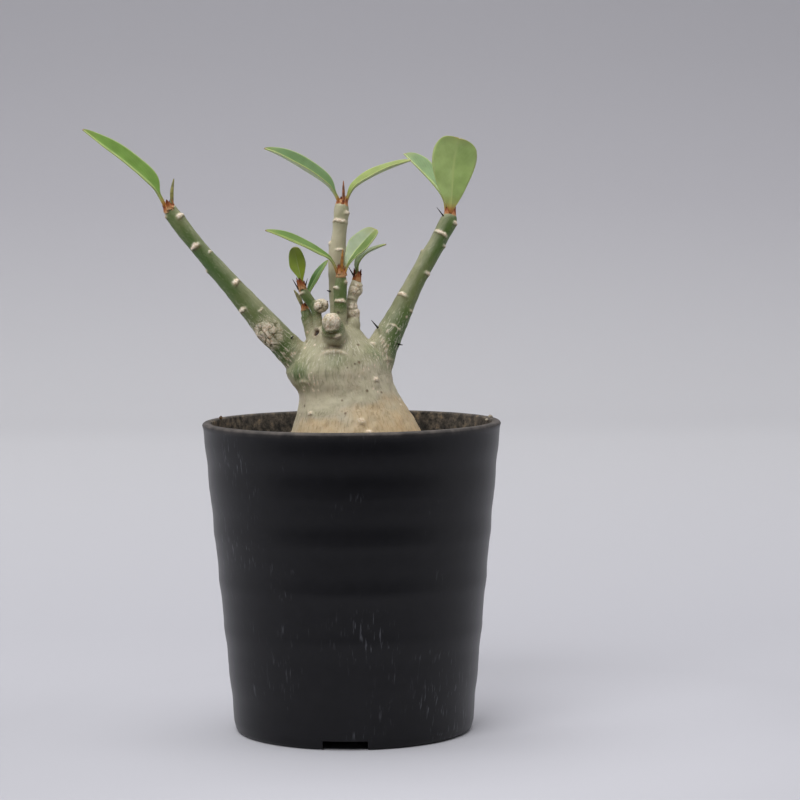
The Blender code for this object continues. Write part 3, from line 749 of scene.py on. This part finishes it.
# the crown and the feet of the stems are weathered, and so is the whole back shoot
worn = np.interp(height, (101, 108, 116, 124, 130), (0.0, 0.35, 0.85, 0.75, 0.12))
worn = np.maximum(worn, 0.9 * share[owners.index("back_shoot")])
lift = np.zeros(count)
for index in range(count):
    spot = Vector(points[index])
    lump = 0.3 * noise.noise(spot * 0.14) + 0.22 * noise.noise(spot * 0.4)
    grain_line[index] += 0.55 * np.array(noise.noise_vector(spot * 0.3))
    grain_line[index] += 0.3 * np.array(noise.noise_vector(spot * 0.8))
    lift[index] = lump * min(1, thick[index] / 7) + 0.07 * noise.noise(Vector(grain_line[index]) * 0.8)


def seat_of(name, x, z, behind=False):
    """The point of a limb's surface nearest to a place, on its front or on its back."""
    wrong_side = normals[:, 1] < 0.1 if behind else normals[:, 1] > 0.35
    wrong_limb = owner != owners.index(name)
    miss = np.hypot(points[:, 0] - x, points[:, 2] - z) + 1e3 * wrong_side + 1e6 * wrong_limb
    return int(miss.argmin())


def local_place(name, seat):
    """Each point's distance along and across a limb from a seat on it."""
    offset = points - points[seat]
    axis = tangent[owners.index(name), seat]
    up = offset @ axis
    return up, np.linalg.norm(offset - up[:, None] * axis, axis=1)


ragged = np.array([noise.noise(Vector(p) * 1.3) for p in points])
random.seed(23)
# on the far side of the stems the scars of old leaves lie at random
scars = [(name, *scar, False) for name, group in SCARS.items() for scar in group]
for name, route in STEMS.items():
    line = smooth_route(route, 3)
    for x, y, z, radius in line[5:-2:2]:
        across = random.uniform(-0.6, 0.6) * radius
        scars.append((name, x + across, z, 0.6 * radius, 0.5, random.uniform(0.5, 1), True))
for name, x, z, wide, tall, strength, behind in scars:
    up, across = local_place(name, seat_of(name, x, z, behind))
    # each scar is a crescent on a ledge that swells slowly from below and drops off above
    ledge = up + 0.18 * across ** 2 / wide + 0.35 * ragged
    reach = np.exp(-(across / wide) ** 4)
    swell = np.where(ledge < 0, np.exp(np.minimum(ledge, 0) / 1.9), np.exp(-(ledge / (0.8 * tall)) ** 2))
    lift += SCAR_RISE * strength * np.exp(-(across / (1.25 * wide)) ** 4) * swell
    face = np.exp(-((ledge - 0.3 * tall) / (0.85 * tall)) ** 4) * reach
    marks[:, 0] = np.maximum(marks[:, 0], face * strength)
    # painted shadow: a brown band is painted under each scar's cream face
    below = np.exp(-((ledge + 1.05 * tall) / (0.35 * tall)) ** 2) * np.exp(-(across / (1.05 * wide)) ** 4)
    marks[:, 1] = np.maximum(marks[:, 1], 0.75 * below * strength)
for name, x, z, half, rise, tan in RIDGES:
    up, across = local_place(name, seat_of(name, x, z))
    line = np.exp(-((up + 0.06 * across ** 2) / 0.55) ** 2) * np.exp(-(across / half) ** 4)
    lift += rise * line
    marks[:, 0] = np.maximum(marks[:, 0], 0.8 * tan * line)
    # painted shade: sunken creases are painted brown
    marks[:, 1] = np.maximum(marks[:, 1], (0.6 - 0.4 * tan) * line * (rise < 0))
for name, x, z, half_length, half_width, rise, cracked in CALLUSES:
    seat = seat_of(name, x, z)
    up, across = local_place(name, seat)
    patch = np.exp(-((up / half_length) ** 2 + (across / half_width) ** 2) ** 2)
    for index in np.flatnonzero(patch > 0.05):
        # the flakes are longer along the limb than across it
        spot = Vector(points[index] - 0.5 * up[index] * tangent[owners.index(name), seat])
        crack = cracked * math.exp(-(noise.noise(spot * 0.55) / 0.065) ** 2)
        crossing = noise.noise(spot * 0.7 + Vector((31, 7, 5)))
        crack = max(crack, 0.8 * cracked * math.exp(-(crossing / 0.05) ** 2))
        strength = patch[index] * (0.75 + 0.5 * noise.noise(spot * 0.9))
        lift[index] += rise * patch[index] + 0.28 * strength * (1 - 1.6 * crack)
        marks[index, 0] = max(0, min(1, 1.2 * strength)) * (1 - crack) ** 2
        rust = 3 * noise.noise(spot * 0.45 + Vector((5, 50, 9))) - 0.9 * up[index] / half_length - 0.3
        rust = max(0, min(1, rust)) * cracked
        marks[index, 0] *= 1 - 0.6 * rust
        marks[index, 1] = max(marks[index, 1], 0.9 * crack * patch[index], 0.55 * rust * patch[index])
for _ in range(SPECK_COUNT):
    # small corky specks on the shoulders and the stems' feet, pale or dark
    seat = random.choice(range(count))
    if 96 < points[seat, 2] < 128:
        spread = np.linalg.norm(points - points[seat], axis=1)
        speckle = np.exp(-(spread / random.uniform(0.22, 0.5)) ** 4)
        lift += 0.07 * speckle
        channel = random.choice((0, 0, 1))
        marks[:, channel] = np.maximum(marks[:, channel], 0.8 * speckle)
for name, x, z, spread in STREAKS:
    for _ in range(STREAKS_EACH):
        seat = seat_of(name, x + random.gauss(0, spread), z + random.gauss(0, 0.6 * spread))
        up, across = local_place(name, seat)
        streak = np.exp(-((up / random.uniform(0.5, 1.1)) ** 2 + (across / 0.24) ** 2) ** 2)
        lift += 0.06 * streak
        marks[:, 0] = np.maximum(marks[:, 0], 0.75 * streak)
from_hole = np.linalg.norm(points - points[seat_of("caudex", *HOLE)], axis=1)
hole = np.exp(-(from_hole / 1.0) ** 4)
ring_line = np.exp(-((from_hole - 1.5) / 0.35) ** 2)
marks[:, 0] = np.maximum(marks[:, 0], 0.3 * ring_line) * (1 - hole)
# painted shade: the shallow hole is painted black; its raised rim is brown and cream
marks[:, 1] = np.maximum(marks[:, 1], np.maximum(2 * hole, 0.45 * ring_line))
lift += 0.25 * np.exp(-((from_hole - 1.5) / 0.5) ** 2) - 0.8 * hole
points += normals * lift[:, None]
mesh.vertices.foreach_set("co", points.astype(np.float32).ravel())
mesh.update()
whole_normals = read(mesh.vertices, "normal", 3)

# each limb takes its own faces of the skin and is closed where it was cut off
FIELDS = (
    ("marks", "FLOAT_COLOR", "color", marks), ("age", "FLOAT", "value", age),
    ("worn", "FLOAT", "value", worn), ("grain_line", "FLOAT_VECTOR", "vector", grain_line),
    ("skin_normal", "FLOAT_VECTOR", "vector", whole_normals),
)
face_owner = owner[faces].min(axis=1)
for index, name in enumerate(owners):
    used, corners = np.unique(faces[face_owner == index], return_inverse=True)
    part = bpy.data.meshes.new(name)
    part.from_pydata((points[used] * MM).tolist(), [], corners.reshape(-1, 4).tolist())
    for key, kind, field, values in FIELDS:
        layer = part.attributes.new(key, kind, "POINT").data
        layer.foreach_set(field, values[used].astype(np.float32).ravel())
    limb = bmesh.new()
    limb.from_mesh(part)
    if name == "caudex":
        everything = limb.verts[:] + limb.edges[:] + limb.faces[:]
        bmesh.ops.bisect_plane(limb, geom=everything, plane_co=(0, 0, SOIL_LINE * MM), plane_no=(0, 0, 1),
                               clear_inner=True)
        rim_edges = [e for e in limb.edges if e.is_boundary]
        ring = [e for e in rim_edges if max(v.co.z for v in e.verts) < (SOIL_LINE + 0.1) * MM]
        for x, y, z, radius in reversed([p for p in CAUDEX if p[2] < SOIL_LINE]):
            grown = bmesh.ops.extrude_edge_only(limb, edges=ring)["geom"]
            ring = [g for g in grown if isinstance(g, bmesh.types.BMEdge)]
            lower = {v for e in ring for v in e.verts}
            middle = sum((v.co for v in lower), Vector()) / len(lower)
            girth_now = sum((v.co - middle).length for v in lower) / len(lower)
            for vertex in lower:
                vertex.co = Vector((x, y, z)) * MM + (vertex.co - middle) * (radius * MM / girth_now)
    bmesh.ops.holes_fill(limb, edges=[e for e in limb.edges if e.is_boundary], sides=0)
    bmesh.ops.triangulate(limb, faces=[f for f in limb.faces if len(f.verts) > 4])
    bmesh.ops.recalc_face_normals(limb, faces=limb.faces)
    marks_layer = limb.verts.layers.float_color["marks"]
    for foot, point in [spine[1:] for spine in SPINES if spine[0] == name]:
        foot, point = Vector(foot) * MM, Vector(point) * MM
        turn = (point - foot).to_track_quat("Z", "Y").to_matrix().to_4x4()
        aim = Matrix.Translation((foot + point) / 2) @ turn
        spine = bmesh.ops.create_cone(limb, cap_ends=True, segments=8, radius1=0.35 * MM, radius2=0.08 * MM,
                                      depth=(point - foot).length, matrix=aim)
        for vertex in spine["verts"]:
            vertex[marks_layer] = (0, 2, 0, 0)
    piece = new_piece(name + "_wood", limb, bark)
    # the skin's own normals run on over the joints between limbs, so no seam shows
    skin_normal = read(piece.data.attributes["skin_normal"].data, "vector", 3)
    true_normal = read(piece.data.vertices, "normal", 3)
    bent = []
    for face in piece.data.polygons:
        inside = face.normal.dot(Vector(skin_normal[face.vertices[0]])) < 0.3
        inside = inside or face.center.z < SOIL_LINE * MM
        bent += [true_normal[v] if inside else skin_normal[v] for v in face.vertices]
    piece.data.normals_split_custom_set(bent)
    piece.data.attributes.remove(piece.data.attributes["skin_normal"])
    stand_for(piece, "caudex_bark" if name == "caudex" else "stem_bark", name)

# ---- Growing tips: dry rust-brown scales clasping each bud, each scale ending in a dark point ----
# The scales are papery and overlap like a collar round the foot of the leaf stalks.

SCALE_COUNT = 7                   # scales round a bud
SCALE_THICKNESS = 0.22            # mm
SCALE_HALF_WIDTH = 1.15           # mm
bud_paper, tree, shader = new_material("dry_papery_bud_scales", 0.6)
place = add(tree, "TexCoord").outputs["Object"]
tip = add(tree, "Attribute", attribute_name="tip").outputs["Fac"]
streak = add(tree, "TexNoise", {"Vector": place, "Scale": 1300.0, "Detail": 3.0}).outputs["Fac"]
drift = add(tree, "MapRange", {"Value": streak, "To Min": -0.3, "To Max": 0.3}).outputs["Result"]
tip = add(tree, "Math", {0: tip, 1: drift}, operation="ADD").outputs["Value"]
scale_colour = ramp(tree, tip, (0.0, "c8ab84"), (0.25, "c08f5e"), (0.5, "a8632f"), (0.78, "7d3a1b"),
                    (1.0, "24110c"))
tree.links.new(scale_colour, shader.inputs["Base Color"])

# bud: stem, length of its scales in millimetres, how far they flare
BUDS = {
    "left_bud": ("left_stem", 3.6, 0.6), "centre_bud": ("centre_stem", 3.4, 0.5),
    "right_bud": ("right_stem", 3.8, 0.5), "front_bud": ("front_shoot", 4.2, 0.35),
    "back_bud": ("back_shoot", 4.0, 0.5), "spoon_bud": ("spoon_shoot", 4.0, 0.7),
    "outer_bud": ("outer_shoot", 2.6, 0.4),
}
# black bristles left by dead scales: bud, foot and point in millimetres
BRISTLES = (
    ("right_bud", (28.9, 4.6, 155.0), (26.3, 4.0, 158.4)),
    ("spoon_bud", (-15.6, -3.8, 134.0), (-17.4, -4.6, 137.2)),
    ("spoon_bud", (-13.8, -3.8, 134.2), (-12.9, -4.6, 137.4)),
    ("back_bud", (1.2, -0.6, 137.6), (-0.9, -1.0, 141.2)),
    ("left_bud", (-54.2, -6.3, 158.8), (-53.6, -6.6, 161.6)),
    ("outer_bud", (-13.6, -0.2, 129.0), (-12.7, -0.5, 130.8)),
)
random.seed(5)
for name, (stem, length, flare) in BUDS.items():
    end, before = Vector(STEMS[stem][-1][:3]), Vector(STEMS[stem][-2][:3])
    collar = STEMS[stem][-1][3]
    way = (end - before).normalized().lerp(Vector((0, 0, 1)), 0.35).normalized()
    turn = way.to_track_quat("Z", "Y").to_matrix().to_4x4()
    tuft = bmesh.new()
    tip_layer = tuft.verts.layers.float.new("tip")
    bmesh.ops.create_cone(tuft, cap_ends=True, segments=16, radius1=collar * 0.96, radius2=collar * 0.4,
                          depth=length * 0.55, matrix=Matrix.Translation((0, 0, length * 0.12)))
    for vertex in tuft.verts:
        vertex[tip_layer] = 0.3
    for i in range(SCALE_COUNT):
        around = math.tau * (i + random.uniform(-0.25, 0.25)) / SCALE_COUNT
        tall = length * random.uniform(0.55, 1.0)
        lean = flare * random.uniform(0.1, 1.0)
        start = random.uniform(-1.5, -0.3)
        before_count = len(tuft.faces)
        grid = bmesh.ops.create_grid(tuft, x_segments=7, y_segments=4, size=1)["verts"]
        for vertex in grid:
            rise, across = (vertex.co.x + 1) / 2, vertex.co.y
            half = SCALE_HALF_WIDTH * (1 - rise ** 1.7) + 0.06
            out = collar * (1.06 - 0.45 * rise) + lean * 1.6 * rise * rise + 0.12 * (1 - across * across)
            angle = around + across * half / collar
            vertex.co = (out * math.cos(angle), out * math.sin(angle), start + tall * rise)
            vertex[tip_layer] = 0.15 + 0.8 * rise * random.uniform(0.85, 1.0)
        tuft.faces.ensure_lookup_table()
        sheet = tuft.faces[before_count:]
        tuft.normal_update()
        outward = Vector((math.cos(around), math.sin(around), 0))
        if sheet[0].normal.dot(outward) < 0:
            bmesh.ops.reverse_faces(tuft, faces=sheet)
        bmesh.ops.solidify(tuft, geom=sheet, thickness=SCALE_THICKNESS)
    bmesh.ops.transform(tuft, matrix=Matrix.Translation(end) @ turn, verts=tuft.verts)
    for owner_name, foot, point in BRISTLES:
        if owner_name != name:
            continue
        foot, point = Vector(foot), Vector(point)
        turn = (point - foot).to_track_quat("Z", "Y").to_matrix().to_4x4()
        aim = Matrix.Translation((foot + point) / 2) @ turn
        spine = bmesh.ops.create_cone(tuft, cap_ends=True, segments=8, radius1=0.3, radius2=0.06,
                                      depth=(point - foot).length, matrix=aim)
        for vertex in spine["verts"]:
            vertex[tip_layer] = 1.4
    bmesh.ops.scale(tuft, vec=(MM, MM, MM), verts=tuft.verts)
    stand_for(new_piece(name + "_scales", tuft, bud_paper), "bud_scales", name)

# ---- Leaves: thick, waxy green blades, folded a little along a pale midrib ----
# Their margins are thin and pale, their stalks and tips are orange to brown, and they are paler below.

LEAF_THICKNESS = 0.36 * MM
STALK_HALF_WIDTH = 0.55 * MM
TIP_HALF_WIDTH = 0.08 * MM
RIB_RISE = 0.3 * MM
RIB_WIDTH = 0.35 * MM
BLADE_STEPS = (64, 18)            # cells along and across the blade
# midrib in millimetres from stalk to tip, half width, fold in degrees, way the upper face looks,
# widest place, how hollow the outline is towards foot and tip, two half colours with painted light and
# shade, underside colour
LEAVES = {
    "left_leaf": (((-54.9, -5.2, 158.7), (-57.2, -5.8, 163.2), (-59.9, -6.3, 166.5), (-67.2, -7.4, 172.9),
                   (-74.2, -8.4, 178.4), (-79.1, -9, 182.3)),
                  4.4, 30, (0.55, -0.5, 0.67), 0.5, 3.2, 0.9, "98b25c", "7fa24c", "9ab060"),
    "centre_left_leaf": (((-3.0, 4.2, 160.0), (-4.8, 4.1, 163.4), (-7.5, 3.6, 166.2), (-13.6, 2.7, 170.2),
                          (-20.5, 1.7, 174.3), (-25.6, 1, 176.6)),
                         4.0, 34, (0.45, -0.42, 0.8), 0.57, 1.8, 1.0, "aebf84", "7a9868", "b4c290"),
    "centre_right_leaf": (((-1.4, 4.9, 160.0), (0, 5, 163.2), (2.4, 5.6, 165.6), (7.4, 6.8, 168.4),
                           (13.4, 8, 171.0), (18.6, 9, 172.8)),
                          3.1, 26, (-0.35, -0.28, 0.88), 0.6, 1.15, 0.8, "8c9c44", "8c9c44", "a4b060"),
    "right_broad_leaf": (((30.6, 4.9, 156.6), (30.9, 4.6, 161), (31.2, 4.4, 167), (31.7, 4.2, 172.6),
                          (32.6, 3.6, 176.8), (33.3, 2.8, 179.1)),
                         6.8, 8, (0.0, 1, 0.1), 0.62, 0.8, 0.42, "a8c46c", "a6bc70", "b2c484"),
    "right_rear_leaf": (((29.4, 6.7, 156.4), (28.9, 8.2, 160.6), (26.4, 10.4, 164.9), (22.4, 12.8, 169.2),
                         (18.9, 15, 173), (16.9, 16.2, 174.8)),
                        4.8, 26, (0.6, -0.5, 0.62), 0.6, 1.0, 0.7, "b2be8e", "7f9a68", "b2be8e"),
    "front_left_leaf": (((-3.6, -4.3, 138.7), (-5.6, -6, 143.0), (-9.6, -7.4, 145.4), (-14.8, -8.9, 148),
                         (-20.6, -10.7, 150.6), (-25.1, -12, 152.1)),
                        3.1, 14, (0.38, -0.35, 0.86), 0.58, 1.5, 0.95, "8ca24c", "64882c", "8ca24e"),
    "front_right_leaf": (((-2, -4.3, 138.7), (-0.6, -3.9, 142.4), (1.6, -2.2, 145.6), (4.3, -0.6, 148.6),
                          (7.6, 1.7, 152)),
                         3.7, 20, (-0.45, -0.8, 0.4), 0.66, 0.9, 0.5, "a4b290", "667f38", "a4b288"),
    "back_leaf": (((2.4, 0.6, 136.7), (1.9, 1.5, 140.5), (3, 2.9, 143), (5.6, 4.4, 145.2),
                   (10.8, 7, 147.4)),
                  1.9, 24, (-0.5, -0.3, 0.8), 0.62, 1.1, 0.8, "86986c", "7c9062", "8c9c74"),
    "spoon_leaf": (((-14.6, -4.0, 134.6), (-15.1, -4.2, 138.4), (-15.9, -4.6, 142), (-16.7, -5.2, 146.8)),
                   2.5, 12, (-0.15, -1, 0.2), 0.66, 1.0, 0.5, "a6b84e", "96a824", "a8b870"),
    "rear_leaf": (((-13.7, 1.2, 128.6), (-12.8, 1.6, 133), (-11.2, 2.4, 136.2), (-9.3, 3.6, 139.5),
                   (-6.9, 5, 142.7)),
                  1.35, 24, (-0.5, -0.8, 0.3), 0.6, 1.0, 0.9, "5f8a40", "6a9046", "7c9a58"),
}


def leaf_material(name, tip_colour, first_half_with_painted_light, second_half_with_painted_light, underside):
    """Waxy leaf skin. Its map runs across the blade in x and from stalk to tip in y."""
    material, tree, shader = new_material("waxy_leaf_skin_" + name, 0.4)
    spot = add(tree, "SeparateXYZ", {"Vector": add(tree, "UVMap", uv_map="blade").outputs["UV"]})
    place = add(tree, "TexCoord").outputs["Object"]
    mottle = add(tree, "TexNoise", {"Vector": place, "Scale": 300.0, "Detail": 4.0}).outputs["Fac"]
    under = add(tree, "Attribute", attribute_name="under").outputs["Fac"]
    offside = add(tree, "Math", {0: spot.outputs["X"], 1: 0.5}, operation="SUBTRACT").outputs["Value"]
    half = add(tree, "MapRange", {"Value": offside, "From Min": -0.01, "From Max": 0.01}).outputs["Result"]
    offside = add(tree, "Math", {0: offside}, operation="ABSOLUTE").outputs["Value"]
    # painted light and shade: the two halves of the blade, either side of the midrib, get a lighter and a
    # darker green
    blade = add(tree, "Mix", {"Factor": half, "A": paint(first_half_with_painted_light), "B": paint(second_half_with_painted_light)},
                data_type="RGBA").outputs[2]
    weight = add(tree, "Math", {0: under, 1: 0.5}, operation="MULTIPLY").outputs["Value"]
    blade = add(tree, "Mix", {"Factor": weight, "A": blade, "B": paint(underside)},
                data_type="RGBA").outputs[2]
    shade = ramp(tree, mottle, (0.3, "e0e3d8"), (0.7, "ffffff"))
    blade = add(tree, "Mix", {"Factor": 1.0, "A": blade, "B": shade}, data_type="RGBA",
                blend_type="MULTIPLY").outputs[2]
    slant = add(tree, "Math", {0: spot.outputs["Y"], 1: offside}, operation="SUBTRACT").outputs["Value"]
    vein = add(tree, "Math", {0: slant, 1: 75.0}, operation="MULTIPLY").outputs["Value"]
    vein = add(tree, "Math", {0: vein}, operation="SINE").outputs["Value"]
    vein = add(tree, "MapRange", {"Value": vein, "From Min": 0.8, "From Max": 1.0,
                                  "To Max": 0.16}).outputs["Result"]
    midrib = add(tree, "MapRange", {"Value": offside, "From Min": 0.04, "From Max": 0.01}).outputs["Result"]
    fading = ramp(tree, spot.outputs["Y"], (0.5, "ffffff"), (0.9, "404040"))
    midrib = add(tree, "Math", {0: midrib, 1: fading}, operation="MULTIPLY").outputs["Value"]
    margin = add(tree, "MapRange", {"Value": offside, "From Min": 0.45, "From Max": 0.495,
                                    "To Max": 0.75}).outputs["Result"]
    flush = ramp(tree, spot.outputs["Y"], (0.8, "000000"), (0.97, "b0b0b0"))
    stalk = ramp(tree, spot.outputs["Y"], (0.06, "ffffff"), (0.15, "808080"), (0.24, "000000"))
    root = ramp(tree, spot.outputs["Y"], (0.03, "ffffff"), (0.11, "000000"))
    tip = ramp(tree, spot.outputs["Y"], (0.965, "000000"), (0.995, "ffffff"))
    layers = ((vein, "b4c48c"), (midrib, "b2c27c"), (margin, "b3bd7a"), (flush, "a5a860"), (stalk, "b98a3c"),
              (root, "a3652c"), (tip, tip_colour))
    for amount, colour in layers:
        blade = add(tree, "Mix", {"Factor": amount, "A": blade, "B": paint(colour)},
                    data_type="RGBA").outputs[2]
    tree.links.new(blade, shader.inputs["Base Color"])
    shader.inputs["Subsurface Weight"].default_value = 0.15
    shader.inputs["Subsurface Radius"].default_value = (0.5, 0.9, 0.2)
    shader.inputs["Subsurface Scale"].default_value = 0.001
    bump = add(tree, "Bump", {"Height": mottle, "Strength": 0.2, "Distance": 0.0002})
    tree.links.new(bump.outputs["Normal"], shader.inputs["Normal"])
    return material


for name, (midrib, greatest, fold, face, widest, foot_hollow, tip_hollow, *colours) in LEAVES.items():
    route = [Vector(p) * MM for p in smooth_route(midrib, 12)]
    leaf = bmesh.new()
    bmesh.ops.create_grid(leaf, x_segments=BLADE_STEPS[0], y_segments=BLADE_STEPS[1], size=1, calc_uvs=True)
    blade_map = leaf.loops.layers.uv.verify()
    under_layer = leaf.verts.layers.float.new("under")
    rib_layer = leaf.verts.layers.float.new("rib")
    for loop in (loop for f in leaf.faces for loop in f.loops):
        loop[blade_map].uv = ((loop.vert.co.y + 1) / 2, (loop.vert.co.x + 1) / 2)
    to_middle = math.log(0.5) / math.log(widest)
    for vertex in leaf.verts:
        along = min(0.9999, max(0, (vertex.co.x + 1) / 2))
        across = vertex.co.y
        reach = along * (len(route) - 1)
        i = min(int(reach), len(route) - 2)
        way = (route[i + 1] - route[i]).normalized()
        up = Vector(face)
        up = (up - way * up.dot(way)).normalized()
        side = way.cross(up)
        swell = math.sin(math.pi * along ** to_middle)
        swell = swell ** (foot_hollow if along < widest else tip_hollow)
        width = max(greatest * MM * swell, STALK_HALF_WIDTH if along < 0.5 else TIP_HALF_WIDTH)
        bend = math.radians(fold) * (1 - math.exp(-abs(across) * 6))
        wave = 0.03 * width * math.sin(along * 17 + across * 2) * across * across
        vertex[rib_layer] = math.exp(-(across * width / RIB_WIDTH) ** 2) * (1.1 - along)
        vertex.co = route[i].lerp(route[i + 1], reach - i) + side * (width * across * math.cos(bend)) \
            + up * (width * abs(across) * math.sin(bend) + wave)
    bmesh.ops.recalc_face_normals(leaf, faces=leaf.faces)
    middle = min(leaf.faces, key=lambda f: (f.calc_center_median() - route[len(route) // 2]).length)
    if middle.normal.dot(Vector(face)) < 0:
        bmesh.ops.reverse_faces(leaf, faces=leaf.faces)
    bmesh.ops.solidify(leaf, geom=leaf.faces[:], thickness=LEAF_THICKNESS)
    leaf.normal_update()
    for vertex in leaf.verts:
        if vertex.normal.dot(Vector(face).normalized()) < 0:
            vertex[under_layer] = 1.0
            vertex.co += vertex.normal * RIB_RISE * vertex[rib_layer]
    leaf_mesh = bpy.data.meshes.new(name)
    leaf.to_mesh(leaf_mesh)
    leaf.free()
    leaf_mesh.uv_layers[0].name = "blade"
    # the pointed blades end in a brown tip, the round ones in a yellow margin
    tip_colour = "8a6846" if tip_hollow > 0.6 else "b0a860"
    piece = new_piece(name + "_blade", leaf_mesh, leaf_material(name, tip_colour, *colours))
    stand_for(piece, "leaf", name)

# ---- Young leaves: still rolled into narrow orange-brown to olive spikes beside each tip ----
# Each is a tapering roll with a pointed end.

# midrib and radius in millimetres, colour
YOUNG_LEAVES = {
    "left_young_leaf": (((-53.2, -4.4, 159.2, 0.45), (-53.3, -3.6, 163.6, 0.55), (-52.7, -3, 167.5, 0.15)),
                        "8f8a45"),
    "centre_young_leaf": (((-2, 3.4, 160, 0.4), (-1.9, 3.2, 163.4, 0.42), (-1.9, 3.4, 166.6, 0.12)),
                          "a3643c"),
    "front_young_leaf": (((-2.7, -4.9, 139.2, 0.5), (-2.5, -4.7, 142.6, 0.5), (-2.2, -4.5, 146, 0.15)),
                         "b0782e"),
    "outer_young_leaf": (((-14.6, 0.5, 128.8, 0.45), (-15.6, 0.3, 131.3, 0.65), (-17.1, 0.1, 133.8, 0.15)),
                         "a8a272"),
}
for name, (route, colour) in YOUNG_LEAVES.items():
    material, tree, shader = new_material("rolled_" + name, 0.45)
    place = add(tree, "TexCoord").outputs["Object"]
    streak = add(tree, "TexNoise", {"Vector": place, "Scale": 900.0, "Detail": 3.0}).outputs["Fac"]
    shade = "".join(f"{int(int(colour[i:i + 2], 16) * 0.7):02x}" for i in (0, 2, 4))
    tree.links.new(ramp(tree, streak, (0.35, shade), (0.65, colour)), shader.inputs["Base Color"])
    rolled = round_line(name, smooth_route(route, 6), MM, 4)
    stand_for(new_piece(name + "_roll", rolled, material), "young_leaf", name)
